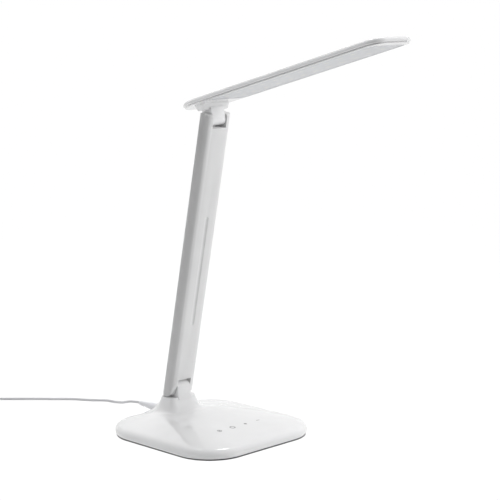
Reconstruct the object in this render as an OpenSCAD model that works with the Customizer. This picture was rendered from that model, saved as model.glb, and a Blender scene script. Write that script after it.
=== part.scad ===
// Folding LED desk lamp: a heavy domed base with a rear neck, a flat arm that folds
// forward on a friction hinge, and a long slim lamp head on a second friction hinge.
// Origin: bottom centre of the base on the table. +Z up, -Y towards the user, +X right.

/* [Base] */
// Widest width and depth of the base
base_w = 166; // [150:1:190]
// Corner radius of the base outline at its widest line
base_corner_r = 42; // [30:1:55]
// Height of the widest line above the table
bulge_z = 5.5; // [4.5:0.1:7]
// Width of the rolled edge, seen from above
roll_w = 6; // [4:0.5:9]
// Height of the dome where the rolled edge ends
roll_z = 11; // [10:0.5:13]
// Height of the dome at its middle
dome_z = 18; // [16:0.5:20]
// Inset of the foot line from the widest line
foot_inset = 1.2; // [0.5:0.1:2]
// Thickness of the dark foot pad
pad_t = 1.3; // [1:0.1:2]
// Wall of the base shell
shell_t = 2.2; // [1.8:0.1:2.6]
// Thickness of the bottom plate
plate_t = 2; // [1.6:0.1:2.4]
// Thickness of the ballast plate
weight_t = 5; // [4:0.5:5.5]
// Radius of the base screws' bosses
boss_r = 3.6; // [3:0.1:4.5]
// Distance of the base screws inside the widest line
screw_inset = 25; // [22:1:30]

/* [Neck and lower hinge] */
// Distance of the lower hinge in front of the base's rear edge
hinge_inset = 32.6; // [30:0.2:35]
// Height of the lower hinge above the table
hinge_z = 39.6; // [39:0.2:44]
// Radius of the neck's hinge barrel
knuckle_r = 9.8; // [9:0.1:10.4]
// Height of the shoulder that the arm's ears stand over
shoulder_z = 32.2; // [31:0.1:32.4]
// Corner radius of the neck outline
neck_corner_r = 5; // [3:0.5:6]
// How far the foot of the neck flares over the dome
flare_reach = 16; // [13:1:20]
// How far the neck runs out behind, over the socket
rear_reach = 30; // [26:1:34]

/* [Arm] */
// Width of the arm
arm_w = 34.7; // [32:0.1:38]
// Thickness of the arm
arm_t = 16.3; // [15:0.1:17]
// Corner radius of the arm section
arm_corner_r = 5; // [3:0.5:6]
// Height of the arm's crowned front
arm_crown = 0.8; // [0.4:0.1:1.2]
// Distance between the two hinges
arm_len = 295; // [280:1:320]
// Forward lean of the open arm
arm_lean = 11.2; // [8:0.2:14]
// Width of the notches that hold the hinge barrels
notch_w = 19.1; // [18:0.1:20]
// Distance from the lower hinge to the notch above it
lower_notch_h = 13; // [12.5:0.1:15]
// Distance from the upper hinge down to its notch floor
upper_notch_h = 7.9; // [7.6:0.1:9]
// Height of the arm's top end above the upper hinge
upper_ear_h = 6; // [5.5:0.1:6.3]
// Rounding of the arm's top end, front and back
ear_round = 4; // [3.6:0.1:4.5]
// Radius of the lower ears' front end about the hinge
ear_r = 6.3; // [6:0.1:6.5]
// How far the lower ears' back corner reaches below the hinge
ear_back_h = 8.8; // [7.5:0.1:8.9]
// Wall of the arm shells
arm_wall = 1.8; // [1.5:0.1:2]
// Place of the parting line behind the hinge axes
arm_split_y = 3.8; // [3.4:0.1:4.5]
// Width of the groove in the arm's front
groove_w = 5.2; // [4:0.2:7]
// Depth of the groove
groove_d = 1.1; // [0.8:0.1:1.3]
// Height of the groove's lower end above the lower hinge
groove_z0 = 74; // [60:1:100]
// Length of the groove
groove_len = 119.5; // [90:0.5:150]

/* [Hinge hardware] */
// Radius of the hinge pins
pin_r = 2.5; // [2:0.1:2.7]
// Running clearance round a pin
pin_gap = 0.08; // [0.05:0.01:0.1]
// Thickness of the steel brackets
steel_t = 1.4; // [1.2:0.1:1.5]
// Thickness of the friction washers
washer_t = 0.35; // [0.3:0.01:0.38]
// Gap between a hinge barrel and each ear
side_gap = 0.45; // [0.42:0.01:0.6]
// Thickness of a hinge eye inside a barrel
eye_w = 4.6; // [4:0.1:5]
// Radius of the bracket screws
screw_r = 1.3; // [1:0.1:1.5]

/* [Head] */
// Upward tilt of the head in the open lamp
head_tilt = 15.8; // [10:0.2:20]
// Width of the head
head_w = 58.5; // [52:0.5:64]
// Distance from the upper hinge to the head's tip
tip_len = 249; // [230:1:256]
// Distance from the upper hinge to the head's tail
tail_len = 30.7; // [24:0.5:36]
// Length of the head's half oval tail
tail_oval = 37; // [30:1:45]
// Corner radius of the tip
tip_r = 15; // [8:1:20]
// Distance from the upper hinge to the underside of the head
panel_h = 15.5; // [15:0.1:17]
// Height of the head's side where it rolls over
head_side_t = 5.8; // [5.6:0.1:6.5]
// Extra height of the head's crowned top
head_crown = 1.5; // [1:0.1:2]
// Height of the parting line above the underside
head_split = 2.4; // [2:0.1:2.8]
// Wall of the head cover
cover_t = 1.4; // [1.2:0.1:1.5]
// Wall of the head frame
frame_t = 1.7; // [1.5:0.1:2]
// Width of the lip round the light window
lip_w = 3.6; // [3:0.1:5]
// Thickness of the lip, which is the window's depth
lip_t = 1.2; // [1:0.1:1.5]
// Width of the solid rim at the tip
tip_rim = 10; // [8:0.5:16]
// Distance from the upper hinge to the light window
window_y = 20; // [16:0.5:24]
// Thickness of the diffuser
diffuser_t = 1.8; // [1.5:0.1:1.9]
// Radius of the head's hinge barrel
tongue_r = 6.8; // [6.4:0.1:7]
// Distance from the upper hinge to the housing that hangs over the arm
housing_h = 9; // [8.9:0.1:9.4]

/* [Cord and adapter] */
// Diameter of the cord
cord_d = 2.8; // [2.6:0.1:3]
// Height of the plug's axis above the table
plug_z = 11.5; // [11:0.1:12]
// Length of the moulded plug body
plug_len = 30; // [28:0.5:32]
// Radius of the plug body at the lamp
plug_r = 4.5; // [4:0.1:4.8]
// Number of layers in the coil
coil_layers = 4; // [4:2:4]
// Turns in each layer of the coil
coil_layer_turns = 3; // [2:1:3]
// Mean radius of the coil
coil_r = 16.8; // [15:0.1:18]
// Distance from one turn of the coil to the next
coil_pitch = 3.3; // [3.3:0.05:3.6]
// Width of the adapter
adapter_w = 50; // [46:1:56]
// Depth of the adapter
adapter_d = 36; // [32:1:40]
// Height of the adapter
adapter_h = 28; // [26:1:32]
// Diameter of the adapter's contact pins
prong_d = 4; // [3.9:0.1:4.1]
// Distance between the adapter's pins
prong_pitch = 18.6; // [17.5:0.1:18.8]
// Length of the adapter's pins
prong_len = 19; // [18:0.5:20]

/* [Hidden] */
$fn = 48;
eps = 0.01;
gloss_white = [0.95, 0.95, 0.95];
satin_white = [0.86, 0.87, 0.88];
opal_white = [0.93, 0.94, 0.97];
steel = [0.7, 0.71, 0.73];
dark_rubber = [0.12, 0.12, 0.13];
board_green = [0.1, 0.38, 0.24];
grey_cord = [0.72, 0.73, 0.74];
nylon = [0.85, 0.82, 0.7];

// ---------- outlines and lofts ----------
outline_arc = 8;        // steps in each rounded corner
outline_side = 8;       // steps along each straight side
outline_n = 4 * (outline_arc + outline_side);

// Point number i of a rounded rectangle, counted from the right side's front end
function rr_point(w, d, r, i) =
    let (quarter = floor(i / (outline_arc + outline_side)))
    let (j = i % (outline_arc + outline_side))
    let (sx = [1, -1, -1, 1][quarter])
    let (sy = [1, 1, -1, -1][quarter])
    let (nx = [-1, -1, 1, 1][quarter])
    let (ny = [1, -1, -1, 1][quarter])
    let (centre = [sx * (w / 2 - r), sy * (d / 2 - r)])
    let (next_centre = [nx * (w / 2 - r), ny * (d / 2 - r)])
    let (a = 90 * (quarter + min(j, outline_arc) / outline_arc))
    let (t = max(0, j - outline_arc) / outline_side)
    centre * (1 - t) + next_centre * t + r * [cos(a), sin(a)];

function rr_outline(w, d, r) = [for (i = [0 : outline_n - 1]) rr_point(w, d, r, i)];

function sum_of(list, i = 0) = i >= len(list) ? [0, 0, 0] : list[i] + sum_of(list, i + 1);

// Triangles between successive rings of n points, and a fan over each end
function loft_faces(n, rings) =
    let (end = rings * n)
    concat(
        [for (k = [0 : rings - 2], i = [0 : n - 1])
            [k * n + i, (k + 1) * n + i, k * n + (i + 1) % n]],
        [for (k = [0 : rings - 2], i = [0 : n - 1])
            [k * n + (i + 1) % n, (k + 1) * n + i, (k + 1) * n + (i + 1) % n]],
        [for (i = [0 : n - 1]) [i, (i + 1) % n, end]],
        [for (i = [0 : n - 1]) [end - n + i, end + 1, end - n + (i + 1) % n]]
    );

// A solid through a list of rings, each counter-clockwise seen against the way they run
module loft(rings) {
    n = len(rings[0]);
    ends = [sum_of(rings[0]) / n, sum_of(rings[len(rings) - 1]) / n];
    polyhedron(concat([for (ring = rings, p = ring) p], ends), loft_faces(n, len(rings)));
}

module rounded_rect(w, d, r) {
    square([w, d - 2 * r], center = true);
    square([w - 2 * r, d], center = true);
    for (sx = [-1, 1], sy = [-1, 1]) {
        translate([sx * (w / 2 - r), sy * (d / 2 - r)]) circle(r);
    }
}

// A cylinder along X, centred on the origin
module x_rod(r, length, sides = 48) {
    rotate([0, 90, 0]) cylinder(r = r, h = length, center = true, $fn = sides);
}

// ---------- sweep along a route ----------
function unit(v) = v / norm(v);
function last(list) = list[len(list) - 1];

// Direction of a path at point i
function path_dir(path, i) = unit(path[min(i + 1, len(path) - 1)] - path[max(i - 1, 0)]);
function ring_at(path, i, r, sides) =
    let (along = path_dir(path, i))
    let (side = unit(cross(along, [0, 0, 1])))
    let (up = cross(side, along))
    [for (k = [0 : sides - 1])
        let (a = 360 * (k + 0.5) / sides)
        path[i] + r * (cos(a) * side + sin(a) * up)];

module tube(path, r, sides) {
    loft([for (i = [0 : len(path) - 1]) ring_at(path, i, r, sides)]);
}

// Smooth curve through hand chosen points, with the given steps to each span
function spline_point(a, b, c, d, t) =
    0.5 * ((2 * b) + (c - a) * t + (2 * a - 5 * b + 4 * c - d) * t * t
        + (3 * b - a - 3 * c + d) * t * t * t);
function spline(points, steps) = concat(
    [for (i = [0 : len(points) - 2], k = [0 : steps - 1])
        spline_point(points[max(i - 1, 0)], points[i], points[i + 1],
            points[min(i + 2, len(points) - 1)], k / steps)],
    [last(points)]);
function path_length(path, i = 1) =
    i >= len(path) ? 0 : norm(path[i] - path[i - 1]) + path_length(path, i + 1);

// ---------- frames of the two moving bodies ----------
module at_lower_hinge() {
    translate([0, hinge_y, hinge_z]) children();
}

// Z runs up the arm, -Y is its front
module in_arm() {
    at_lower_hinge() rotate([arm_lean, 0, 0]) children();
}

// Z is square to the head's underside, -Y points to its tip
module in_head() {
    in_arm() translate([0, 0, arm_len]) rotate([-arm_lean - head_tilt, 0, 0]) children();
}

// ---------- base ----------
hinge_y = base_w / 2 - hinge_inset;
barrel_w = notch_w - 2 * side_gap;
neck_d = 2 * knuckle_r;
wire_r = 1.1;
floor_z = pad_t + plate_t;        // top of the bottom plate

function ease(t) = 1 - (1 - t) * (1 - t);
function dome_height(inset) =
    roll_z + (dome_z - roll_z) * ease(min(1, (inset - roll_w) / (base_w / 2 - roll_w)));
// The flare is a tight fillet all round, and a longer ramp behind: rear goes from 0 to 1 there
function flare_height(neck_gap, ground, rear) =
    (shoulder_z - ground) * (
        (1 - rear) * pow(max(0, 1 - neck_gap / flare_reach), 3)
        + rear * pow(max(0, 1 - neck_gap / rear_reach), 2));
rear_turn = [0.6, 0.93];          // how squarely behind the ramp starts, and where it is full
function rear_share(backward) =
    let (t = max(0, min(1, (backward - rear_turn[0]) / (rear_turn[1] - rear_turn[0]))))
    t * t * (3 - 2 * t);

// Rings of the base's outer face: [inset from the widest line, height] on the edge
edge_rings = [
    [foot_inset, pad_t], [0.35, pad_t + 1.9], [0, bulge_z], [0.5, bulge_z + 2.1],
    [roll_w * 0.32, roll_z - 1.5], [roll_w * 0.6, roll_z - 0.55], [roll_w, roll_z]
];
dome_steps = [0.12, 0.3, 0.5, 0.72];
neck_gaps = [26, 19, 14.5, 11.5, 9, 7, 5.2, 3.7, 2.4, 1.2, 0.3];

inner_edge_rings = [for (k = [0 : 2 : 6]) edge_rings[k]];
inner_dome_steps = [0.3, 0.72];
inner_neck_gaps = [26, 14.5, 9, 5.2, 2.4, 0.3];

// Rings from the foot to the neck: each point runs along a ray from the outline to the neck
function base_rings(wall, edges, steps, gaps) =
    let (outer = rr_outline(base_w, base_w, base_corner_r))
    let (neck = [for (p = rr_outline(arm_w - 2 * wall, neck_d - 2 * wall, neck_corner_r - wall * 0.9))
        p + [0, hinge_y]])
    let (ray = [for (i = [0 : outline_n - 1]) neck[i] - outer[i]])
    let (reach = [for (v = ray) norm(v)])
    let (rear = [for (v = ray) rear_share(-v[1] / norm(v))])
    concat(
        [for (e = edges)
            [for (i = [0 : outline_n - 1])
                let (inset = e[0] + wall)
                let (turned = (e[1] - pad_t) / roll_z)
                let (lift = flare_height(reach[i] - inset, roll_z, rear[i]) * turned)
                let (p = outer[i] + unit(ray[i]) * inset)
                [p[0], p[1], e[1] - wall * turned + lift]]],
        [for (s = steps)
            [for (i = [0 : outline_n - 1])
                let (start = roll_w + wall)
                let (stop = max(start + 2, reach[i] - gaps[0]))
                let (inset = start + (stop - start) * s)
                let (z = dome_height(inset))
                let (p = outer[i] + unit(ray[i]) * inset)
                [p[0], p[1], z + flare_height(reach[i] - inset + wall * 0.4, z, rear[i]) - wall]]],
        [for (gap = gaps)
            [for (i = [0 : outline_n - 1])
                let (near = min(gap, (reach[i] - roll_w - wall - 2) * gap / gaps[0]))
                let (inset = reach[i] - near)
                let (z = dome_height(inset))
                let (p = outer[i] + unit(ray[i]) * inset)
                [p[0], p[1], z + flare_height(near + wall * 0.4, z, rear[i]) - wall]]],
        [[for (p = neck) [p[0], p[1], shoulder_z - wall]]]
    );
function reversed(list) = [for (i = [len(list) - 1 : -1 : 0]) list[i]];

// The whole skin in one piece: down the inside, round the foot and up the outside
module base_skin() {
    loft(concat(
        reversed(base_rings(shell_t, inner_edge_rings, inner_dome_steps, inner_neck_gaps)),
        base_rings(0, edge_rings, dome_steps, neck_gaps)
    ));
}

screw_off = base_w / 2 - screw_inset;
screw_places = [for (sx = [-1, 1], sy = [-1, 1]) [sx * screw_off, sy * screw_off]];
// the bosses end inside the shell's wall above them
boss_inset = base_corner_r - sqrt(2) * max(0, base_corner_r - screw_inset);
boss_top = dome_height(boss_inset) - shell_t / 2;
jack_end_y = base_w / 2 - 1.5;
jack_body_y = jack_end_y - 12.5;  // front face of the socket's body
jack_r = 4.2;
jack_boss_r = jack_r + 1.9;
plug_room = 0.6;
slot_w = 2 * eye_w - 0.4;
barrel_skin = 1.9;

module base_screw_bosses() {
    for (p = screw_places) {
        translate([p[0], p[1], floor_z]) cylinder(r = boss_r, h = boss_top - floor_z);
    }
}

module base_shell() color(gloss_white) {
    difference() {
        union() {
            base_skin();
            base_screw_bosses();
            // hinge barrel and the block under it
            at_lower_hinge() x_rod(knuckle_r, barrel_w, 64);
            translate([-barrel_w / 2, hinge_y - knuckle_r, shoulder_z - 1])
                cube([barrel_w, neck_d, hinge_z - shoulder_z + 1]);
            // collar round the power socket
            translate([0, jack_body_y + 0.2, plug_z]) rotate([-90, 0, 0])
                cylinder(r = jack_boss_r, h = jack_end_y - jack_body_y - 0.2);
        }
        // room for the steel eye and the wire inside the barrel
        translate([-slot_w / 2, hinge_y - knuckle_r + barrel_skin, shoulder_z - shell_t - 1])
            cube([slot_w, neck_d - 2 * barrel_skin, hinge_z - shoulder_z + shell_t + 1]);
        at_lower_hinge() x_rod(knuckle_r - barrel_skin, slot_w);
        at_lower_hinge() x_rod(pin_r + pin_gap, barrel_w + 2);
        // way out for the wire at the top of the barrel
        translate([wire_x, hinge_y, hinge_z + knuckle_r - barrel_skin - 1]) cylinder(r = wire_r + 0.2, h = 4);
        // power socket
        translate([0, jack_body_y - 2, plug_z]) rotate([-90, 0, 0]) cylinder(r = jack_r + 0.1, h = 20);
        // room for the plug in the rolled edge
        translate([0, jack_end_y, plug_z]) rotate([-90, 0, 0]) cylinder(r = plug_r + plug_room, h = 8);
        for (p = screw_places) {
            translate([p[0], p[1], floor_z - 1]) cylinder(r = screw_r, h = 6);
        }
    }
}

plate_w = base_w - 2 * (foot_inset + shell_t + 0.3);
plate_corner_r = base_corner_r - foot_inset - shell_t - 0.3;

module base_plate() color(satin_white) {
    difference() {
        translate([0, 0, pad_t]) linear_extrude(plate_t) rounded_rect(plate_w, plate_w, plate_corner_r);
        for (p = screw_places) {
            translate([p[0], p[1], 0]) cylinder(r = screw_r + 0.2, h = 10);
            translate([p[0], p[1], 0]) cylinder(r = 2.6, h = pad_t + 1);
        }
        for (p = neck_screw_places) {
            translate([p[0], p[1], 0]) cylinder(r = screw_r, h = 10);
        }
    }
}

module foot_pad() color(dark_rubber) {
    foot_w = base_w - 2 * foot_inset;
    linear_extrude(pad_t) rounded_rect(foot_w, foot_w, base_corner_r - foot_inset);
}

ballast_setback = 22;             // from the base's front edge
ballast_hinge_gap = 41.4;         // in front of the lower hinge
ballast_side_gap = 2;             // beside the screw bosses
ballast_corner_r = 6;
ballast_front = -base_w / 2 + ballast_setback;
ballast_back = hinge_y - ballast_hinge_gap;
ballast_size = [2 * (screw_off - boss_r - ballast_side_gap), ballast_back - ballast_front];
ballast_y = (ballast_front + ballast_back) / 2;

module ballast_plate() color([0.35, 0.35, 0.36]) {
    translate([0, ballast_y, floor_z]) linear_extrude(weight_t)
        rounded_rect(ballast_size[0], ballast_size[1], ballast_corner_r);
}

screw_head_r = 2.4;
screw_head_h = 1.1;
base_screw_len = 5;

module base_screws() color(steel) {
    for (p = screw_places) {
        translate([p[0], p[1], pad_t + 0.05]) cylinder(r = screw_head_r - 0.1, h = screw_head_h - 0.2);
        translate([p[0], p[1], pad_t + screw_head_h - 0.2]) cylinder(r = screw_r, h = base_screw_len);
    }
}

// steel tongue that carries the hinge eye and stands on the bottom plate
bracket_foot = [36, 16];
neck_screw_places = [for (sx = [-1, 1]) [sx * 13, hinge_y]];
eye_x = -slot_w / 2 + 0.2;        // left face of each steel eye
wire_x = slot_w / 2 - wire_r - 0.6;

module neck_bracket() color(steel) {
    difference() {
        union() {
            translate([eye_x, hinge_y, hinge_z]) rotate([0, 90, 0])
                cylinder(r = knuckle_r - barrel_skin - 0.6, h = eye_w);
            translate([eye_x, hinge_y - 5, floor_z]) cube([eye_w, 10, hinge_z - floor_z]);
            translate([-bracket_foot[0] / 2, hinge_y - bracket_foot[1] / 2, floor_z])
                cube([bracket_foot[0], bracket_foot[1], steel_t]);
        }
        at_lower_hinge() x_rod(pin_r + pin_gap, barrel_w);
        for (p = neck_screw_places) {
            translate([p[0], p[1], 0]) cylinder(r = screw_r + 0.2, h = 12);
        }
    }
}

module neck_bracket_screws() color(steel) {
    for (p = neck_screw_places) {
        translate([p[0], p[1], floor_z + steel_t]) cylinder(r = screw_head_r, h = screw_head_h);
        translate([p[0], p[1], pad_t + 0.1]) cylinder(r = screw_r, h = plate_t + steel_t);
    }
}

board_t = 1.6;
standoff_r = 2;
standoff_h = 2;
standoff_inset = 5;               // from the edges of the driver board
driver_size = [44, 36];
driver_gap = 5;                   // behind the ballast plate
driver_pos = [-bracket_foot[0] / 2 - driver_size[0], ballast_back + driver_gap];
wire_end_x = driver_pos[0] + driver_size[0] + 1.2;
driver_z = floor_z + standoff_h;

module driver_board() color(board_green) {
    translate([driver_pos[0], driver_pos[1], driver_z]) cube([driver_size[0], driver_size[1], board_t]);
    for (x = [standoff_inset, driver_size[0] - standoff_inset],
        y = [standoff_inset, driver_size[1] - standoff_inset]) {
        translate([driver_pos[0] + x, driver_pos[1] + y, floor_z])
            cylinder(r = standoff_r, h = standoff_h + eps);
    }
}

// Round parts: [x, y, radius, height]; chips: [x, y, width, depth, height]
round_parts = [[14, 24, 4.5, 3.6], [27, 26, 3, 4.2]];
chips = [[8, 7, 8, 6, 1.6], [24, 8, 10, 6, 2.2]];

module driver_parts() color([0.2, 0.2, 0.22]) {
    translate([driver_pos[0], driver_pos[1], driver_z + board_t]) {
        for (c = round_parts) {
            translate([c[0], c[1], 0]) cylinder(r = c[2], h = c[3]);
        }
        for (c = chips) {
            translate([c[0], c[1], 0]) cube([c[2], c[3], c[4]]);
        }
    }
}

// four sensing pads stand between the touch board and the dome
touch_pitch = 18.4;
touch_setback = 44.5;             // from the base's front edge
touch_y = -base_w / 2 + touch_setback;
touch_standoff_h = 1.2;
touch_board_z = floor_z + weight_t + touch_standoff_h;
touch_board_t = 1;
touch_end_gap = 5.4;              // from the outer pads to the board's ends
touch_pad_r = 4;
touch_size = [3 * touch_pitch + 2 * touch_end_gap, 14];

module touch_board() color(board_green) {
    translate([-touch_size[0] / 2, touch_y - touch_size[1] / 2, touch_board_z])
        cube([touch_size[0], touch_size[1], touch_board_t]);
    for (sx = [-1, 1]) {
        translate([sx * (touch_size[0] / 2 - 3), touch_y, floor_z + weight_t])
            cylinder(r = standoff_r, h = touch_standoff_h + eps);
    }
}

module touch_pads() color([0.3, 0.3, 0.32]) {
    pad_z = touch_board_z + touch_board_t;
    roof = dome_height(base_w / 2 + touch_y - 5) - shell_t;
    for (i = [-1.5 : 1 : 1.5]) {
        translate([i * touch_pitch, touch_y, pad_z]) cylinder(r = touch_pad_r, h = roof - pad_z - 0.35);
    }
}

jack_body = [10, 12, 10];

module dc_jack() color(dark_rubber) {
    difference() {
        union() {
            translate([-jack_body[0] / 2, jack_body_y - jack_body[1], plug_z - jack_body[2] / 2])
                cube(jack_body);
            translate([0, jack_body_y - 1, plug_z]) rotate([-90, 0, 0])
                cylinder(r = jack_r, h = jack_end_y - jack_body_y + 1);
        }
        translate([0, jack_end_y - 9.6, plug_z]) rotate([-90, 0, 0]) cylinder(r = 2.85, h = 12);
    }
    // centre contact
    translate([0, jack_end_y - 10, plug_z]) rotate([-90, 0, 0]) cylinder(r = 0.9, h = 8);
    // legs that stand on the bottom plate
    for (sx = [-1, 1]) {
        translate([sx * 3.6 - 0.6, jack_body_y - 9.8, floor_z])
            cube([1.2, 6, plug_z - jack_body[2] / 2 - floor_z + eps]);
    }
}

jack_wire_route = [
    [-5.6, jack_body_y - 5, 8], [-9, jack_body_y - 5, 8], [-15, jack_body_y - 9, 7.6],
    [wire_end_x, hinge_y - 3.4, 6.8]
];
base_wire_route = [
    [wire_end_x, hinge_y - 16.4, 6.2], [-12, hinge_y - 13.9, 7.5], [-4, hinge_y - 10.9, 12],
    [wire_x, hinge_y - 4.9, 19], [wire_x, hinge_y - 3.2, 27], [wire_x, hinge_y - 3.8, 34]
];

module jack_wires() color([0.8, 0.15, 0.12]) {
    tube(spline(jack_wire_route, 3), wire_r, 6);
}

module base_wire() color(grey_cord) {
    tube(spline(base_wire_route, 3), wire_r, 6);
}

// ---------- arm ----------
arm_bottom = -ear_back_h;
arm_top = arm_len + upper_ear_h;

// Arm section: rounded, with a crowned front
module arm_section(inset) {
    crown_r = arm_w * arm_w / (8 * arm_crown);
    intersection() {
        rounded_rect(arm_w - 2 * inset, arm_t - 2 * inset, arm_corner_r - inset * 0.8);
        translate([0, crown_r - arm_t / 2 + inset]) circle(crown_r, $fn = 240);
    }
}

// Side view of the lower ear, about the hinge: front arc, sloped foot, back corner
function lower_ear(inset) =
    let (half_t = arm_t / 2 - inset)
    let (r = ear_r - inset)
    concat(
        [[-half_t, lower_notch_h - 2]],
        [for (a = [180 : 10 : 270]) r * [cos(a), sin(a)]],
        [[half_t * 0.55, -r - 0.55 * (ear_back_h - ear_r)], [half_t, inset - ear_back_h]],
        [[half_t, lower_notch_h - 2]]
    );

// Side view of the whole arm
module arm_side(inset) {
    half_t = arm_t / 2 - inset;
    round_r = ear_round - inset;
    polygon(lower_ear(inset));
    translate([-half_t, lower_notch_h - 3]) square([2 * half_t, arm_top - ear_round - lower_notch_h + 3]);
    translate([-half_t + round_r, arm_top - ear_round]) square([2 * (half_t - round_r), round_r]);
    for (s = [-1, 1]) {
        translate([s * (half_t - round_r), arm_top - ear_round]) circle(round_r);
    }
}

module along_x(width) {
    rotate([90, 0, 90]) linear_extrude(width, center = true) children();
}

module arm_blank(inset) {
    intersection() {
        translate([0, 0, arm_bottom - 1]) linear_extrude(arm_top - arm_bottom + 2) arm_section(inset);
        along_x(arm_w + 2) arm_side(inset);
    }
}

// Notches, grown by a wall when they bound the cavity
module arm_notches(grow) {
    w = notch_w + 2 * grow;
    translate([-w / 2, -arm_t, arm_bottom - 20]) cube([w, 2 * arm_t, 20 - arm_bottom + lower_notch_h + grow]);
    translate([-w / 2, -arm_t, arm_len - upper_notch_h - grow]) cube([w, 2 * arm_t, 40]);
}

// A round-bottomed channel with rounded ends
groove_r = (groove_w * groove_w / 4 + groove_d * groove_d) / (2 * groove_d);
module arm_groove() {
    ends = [groove_z0 + groove_w / 2, groove_z0 + groove_len - groove_w / 2];
    translate([0, groove_d - groove_r - arm_t / 2, 0]) {
        translate([0, 0, ends[0]]) cylinder(r = groove_r, h = ends[1] - ends[0]);
        for (z = ends) {
            translate([0, 0, z]) sphere(groove_r);
        }
    }
}

plate_y = -3;                     // front face of the brackets' plates inside the arm
lower_plate_z = [17, 33];
upper_plate_z = [arm_len - 30, arm_len - 13];
arm_screw_x = 7;
arm_screw_places = [for (sx = [-1, 1], z = [24, arm_len - 21]) [sx * arm_screw_x, z]];

module arm_shell_solid() {
    difference() {
        union() {
            difference() {
                arm_blank(0);
                difference() {
                    arm_blank(arm_wall);
                    arm_notches(arm_wall);
                }
            }
            for (p = arm_screw_places) {
                translate([p[0], -arm_t / 2 + 1, p[1]]) rotate([-90, 0, 0])
                    cylinder(r = 3, h = plate_y + arm_t / 2 - 1);
            }
        }
        arm_notches(0);
        arm_groove();
        for (z = [0, arm_len]) {
            translate([0, 0, z]) x_rod(pin_r + pin_gap, notch_w + 2 * arm_wall + 2);
        }
        for (p = arm_screw_places) {
            translate([p[0], -arm_t / 2 + 2, p[1]]) rotate([-90, 0, 0]) cylinder(r = screw_r, h = 8);
        }
        // wire ways through the notch ends
        translate([arm_wire_x, arm_wire_y, lower_notch_h - 1]) cylinder(r = wire_r + 0.3, h = arm_wall + 2);
        translate([arm_wire_x, arm_wire_y, arm_len - upper_notch_h - arm_wall - 1])
            cylinder(r = wire_r + 0.3, h = arm_wall + 2);
    }
}

module split_block(front) {
    depth = 40;
    y0 = front ? arm_split_y - depth : arm_split_y;
    translate([-arm_w, y0, arm_bottom - 10]) cube([2 * arm_w, depth, arm_top - arm_bottom + 20]);
}

module arm_front_shell() color(satin_white) {
    in_arm() intersection() {
        arm_shell_solid();
        split_block(true);
    }
}

module arm_back_shell() color(satin_white) {
    in_arm() intersection() {
        arm_shell_solid();
        split_block(false);
    }
}

lug_x = notch_w / 2 + arm_wall + 0.1;   // inner face of each lug
arm_wire_x = 3;
arm_wire_y = plate_y + steel_t + wire_r + 0.05;

// A steel plate on the screw bosses with a lug beside each end of the pin
module arm_bracket(plate_z, lug_r, hinge) {
    width = 2 * (lug_x + steel_t);
    difference() {
        union() {
            translate([-width / 2, plate_y, plate_z[0]]) cube([width, steel_t, plate_z[1] - plate_z[0]]);
            for (s = [-1, 1]) {
                translate([s * (lug_x + steel_t / 2), 0, hinge]) x_rod(lug_r, steel_t);
                translate([s * (lug_x + steel_t / 2) - steel_t / 2, plate_y, min(hinge, plate_z[0])])
                    cube([steel_t, lug_r - plate_y, max(plate_z[1], hinge) - min(hinge, plate_z[0])]);
            }
        }
        translate([0, 0, hinge]) x_rod(pin_r + pin_gap, 2 * width);
        for (p = arm_screw_places) {
            translate([p[0], plate_y - 1, p[1]]) rotate([-90, 0, 0]) cylinder(r = screw_r + 0.2, h = 6);
        }
    }
}

lower_lug_r = 4.1;
upper_lug_r = 3.8;

module lower_arm_bracket() color(steel) {
    in_arm() arm_bracket(lower_plate_z, lower_lug_r, 0);
}

module upper_arm_bracket() color(steel) {
    in_arm() arm_bracket(upper_plate_z, upper_lug_r, arm_len);
}

module arm_bracket_screws() color(steel) {
    in_arm() for (p = arm_screw_places) {
        translate([p[0], plate_y + steel_t, p[1]]) rotate([-90, 0, 0])
            cylinder(r = screw_head_r, h = screw_head_h);
        translate([p[0], -arm_t / 2 + 2.4, p[1]]) rotate([-90, 0, 0])
            cylinder(r = screw_r, h = plate_y + steel_t + arm_t / 2 - 2.4 + eps);
    }
}

module arm_wire() color(grey_cord) {
    in_arm() translate([arm_wire_x, arm_wire_y, lower_notch_h + 0.2])
        cylinder(r = wire_r, h = arm_len - upper_notch_h - lower_notch_h - 0.4);
}

// ---------- hinge hardware ----------
lug_outer = lug_x + steel_t;
nut_h = 1.5;

// A pin with a flat head against the left lug
module hinge_pin() {
    x_rod(pin_r, 2 * (lug_outer + nut_h));
    translate([-lug_outer - 0.05 - 0.6, 0, 0]) x_rod(3.6, 1.2);
}

module hinge_nut() {
    difference() {
        translate([lug_outer + 0.05 + nut_h / 2, 0, 0]) x_rod(3.9, nut_h, 6);
        x_rod(pin_r, 60);
    }
}

module friction_washers() {
    for (s = [-1, 1]) {
        translate([s * (barrel_w / 2 + side_gap / 2), 0, 0]) difference() {
            x_rod(5.4, washer_t);
            x_rod(pin_r + pin_gap, 2);
        }
    }
}

module lower_hinge_pin() color(steel) {
    in_arm() hinge_pin();
}

module lower_hinge_nut() color(steel) {
    in_arm() hinge_nut();
}

module lower_friction_washers() color(nylon) {
    in_arm() friction_washers();
}

module upper_hinge_pin() color(steel) {
    in_arm() translate([0, 0, arm_len]) hinge_pin();
}

module upper_hinge_nut() color(steel) {
    in_arm() translate([0, 0, arm_len]) hinge_nut();
}

module upper_friction_washers() color(nylon) {
    in_arm() translate([0, 0, arm_len]) friction_washers();
}

// ---------- head ----------
head_arc = 10;
function tip_corner(inset, side, a) =
    let (r = max(1, tip_r - inset))
    [side * (head_w / 2 - inset - r) + r * cos(a), -tip_len + inset + r + r * sin(a)];

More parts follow.
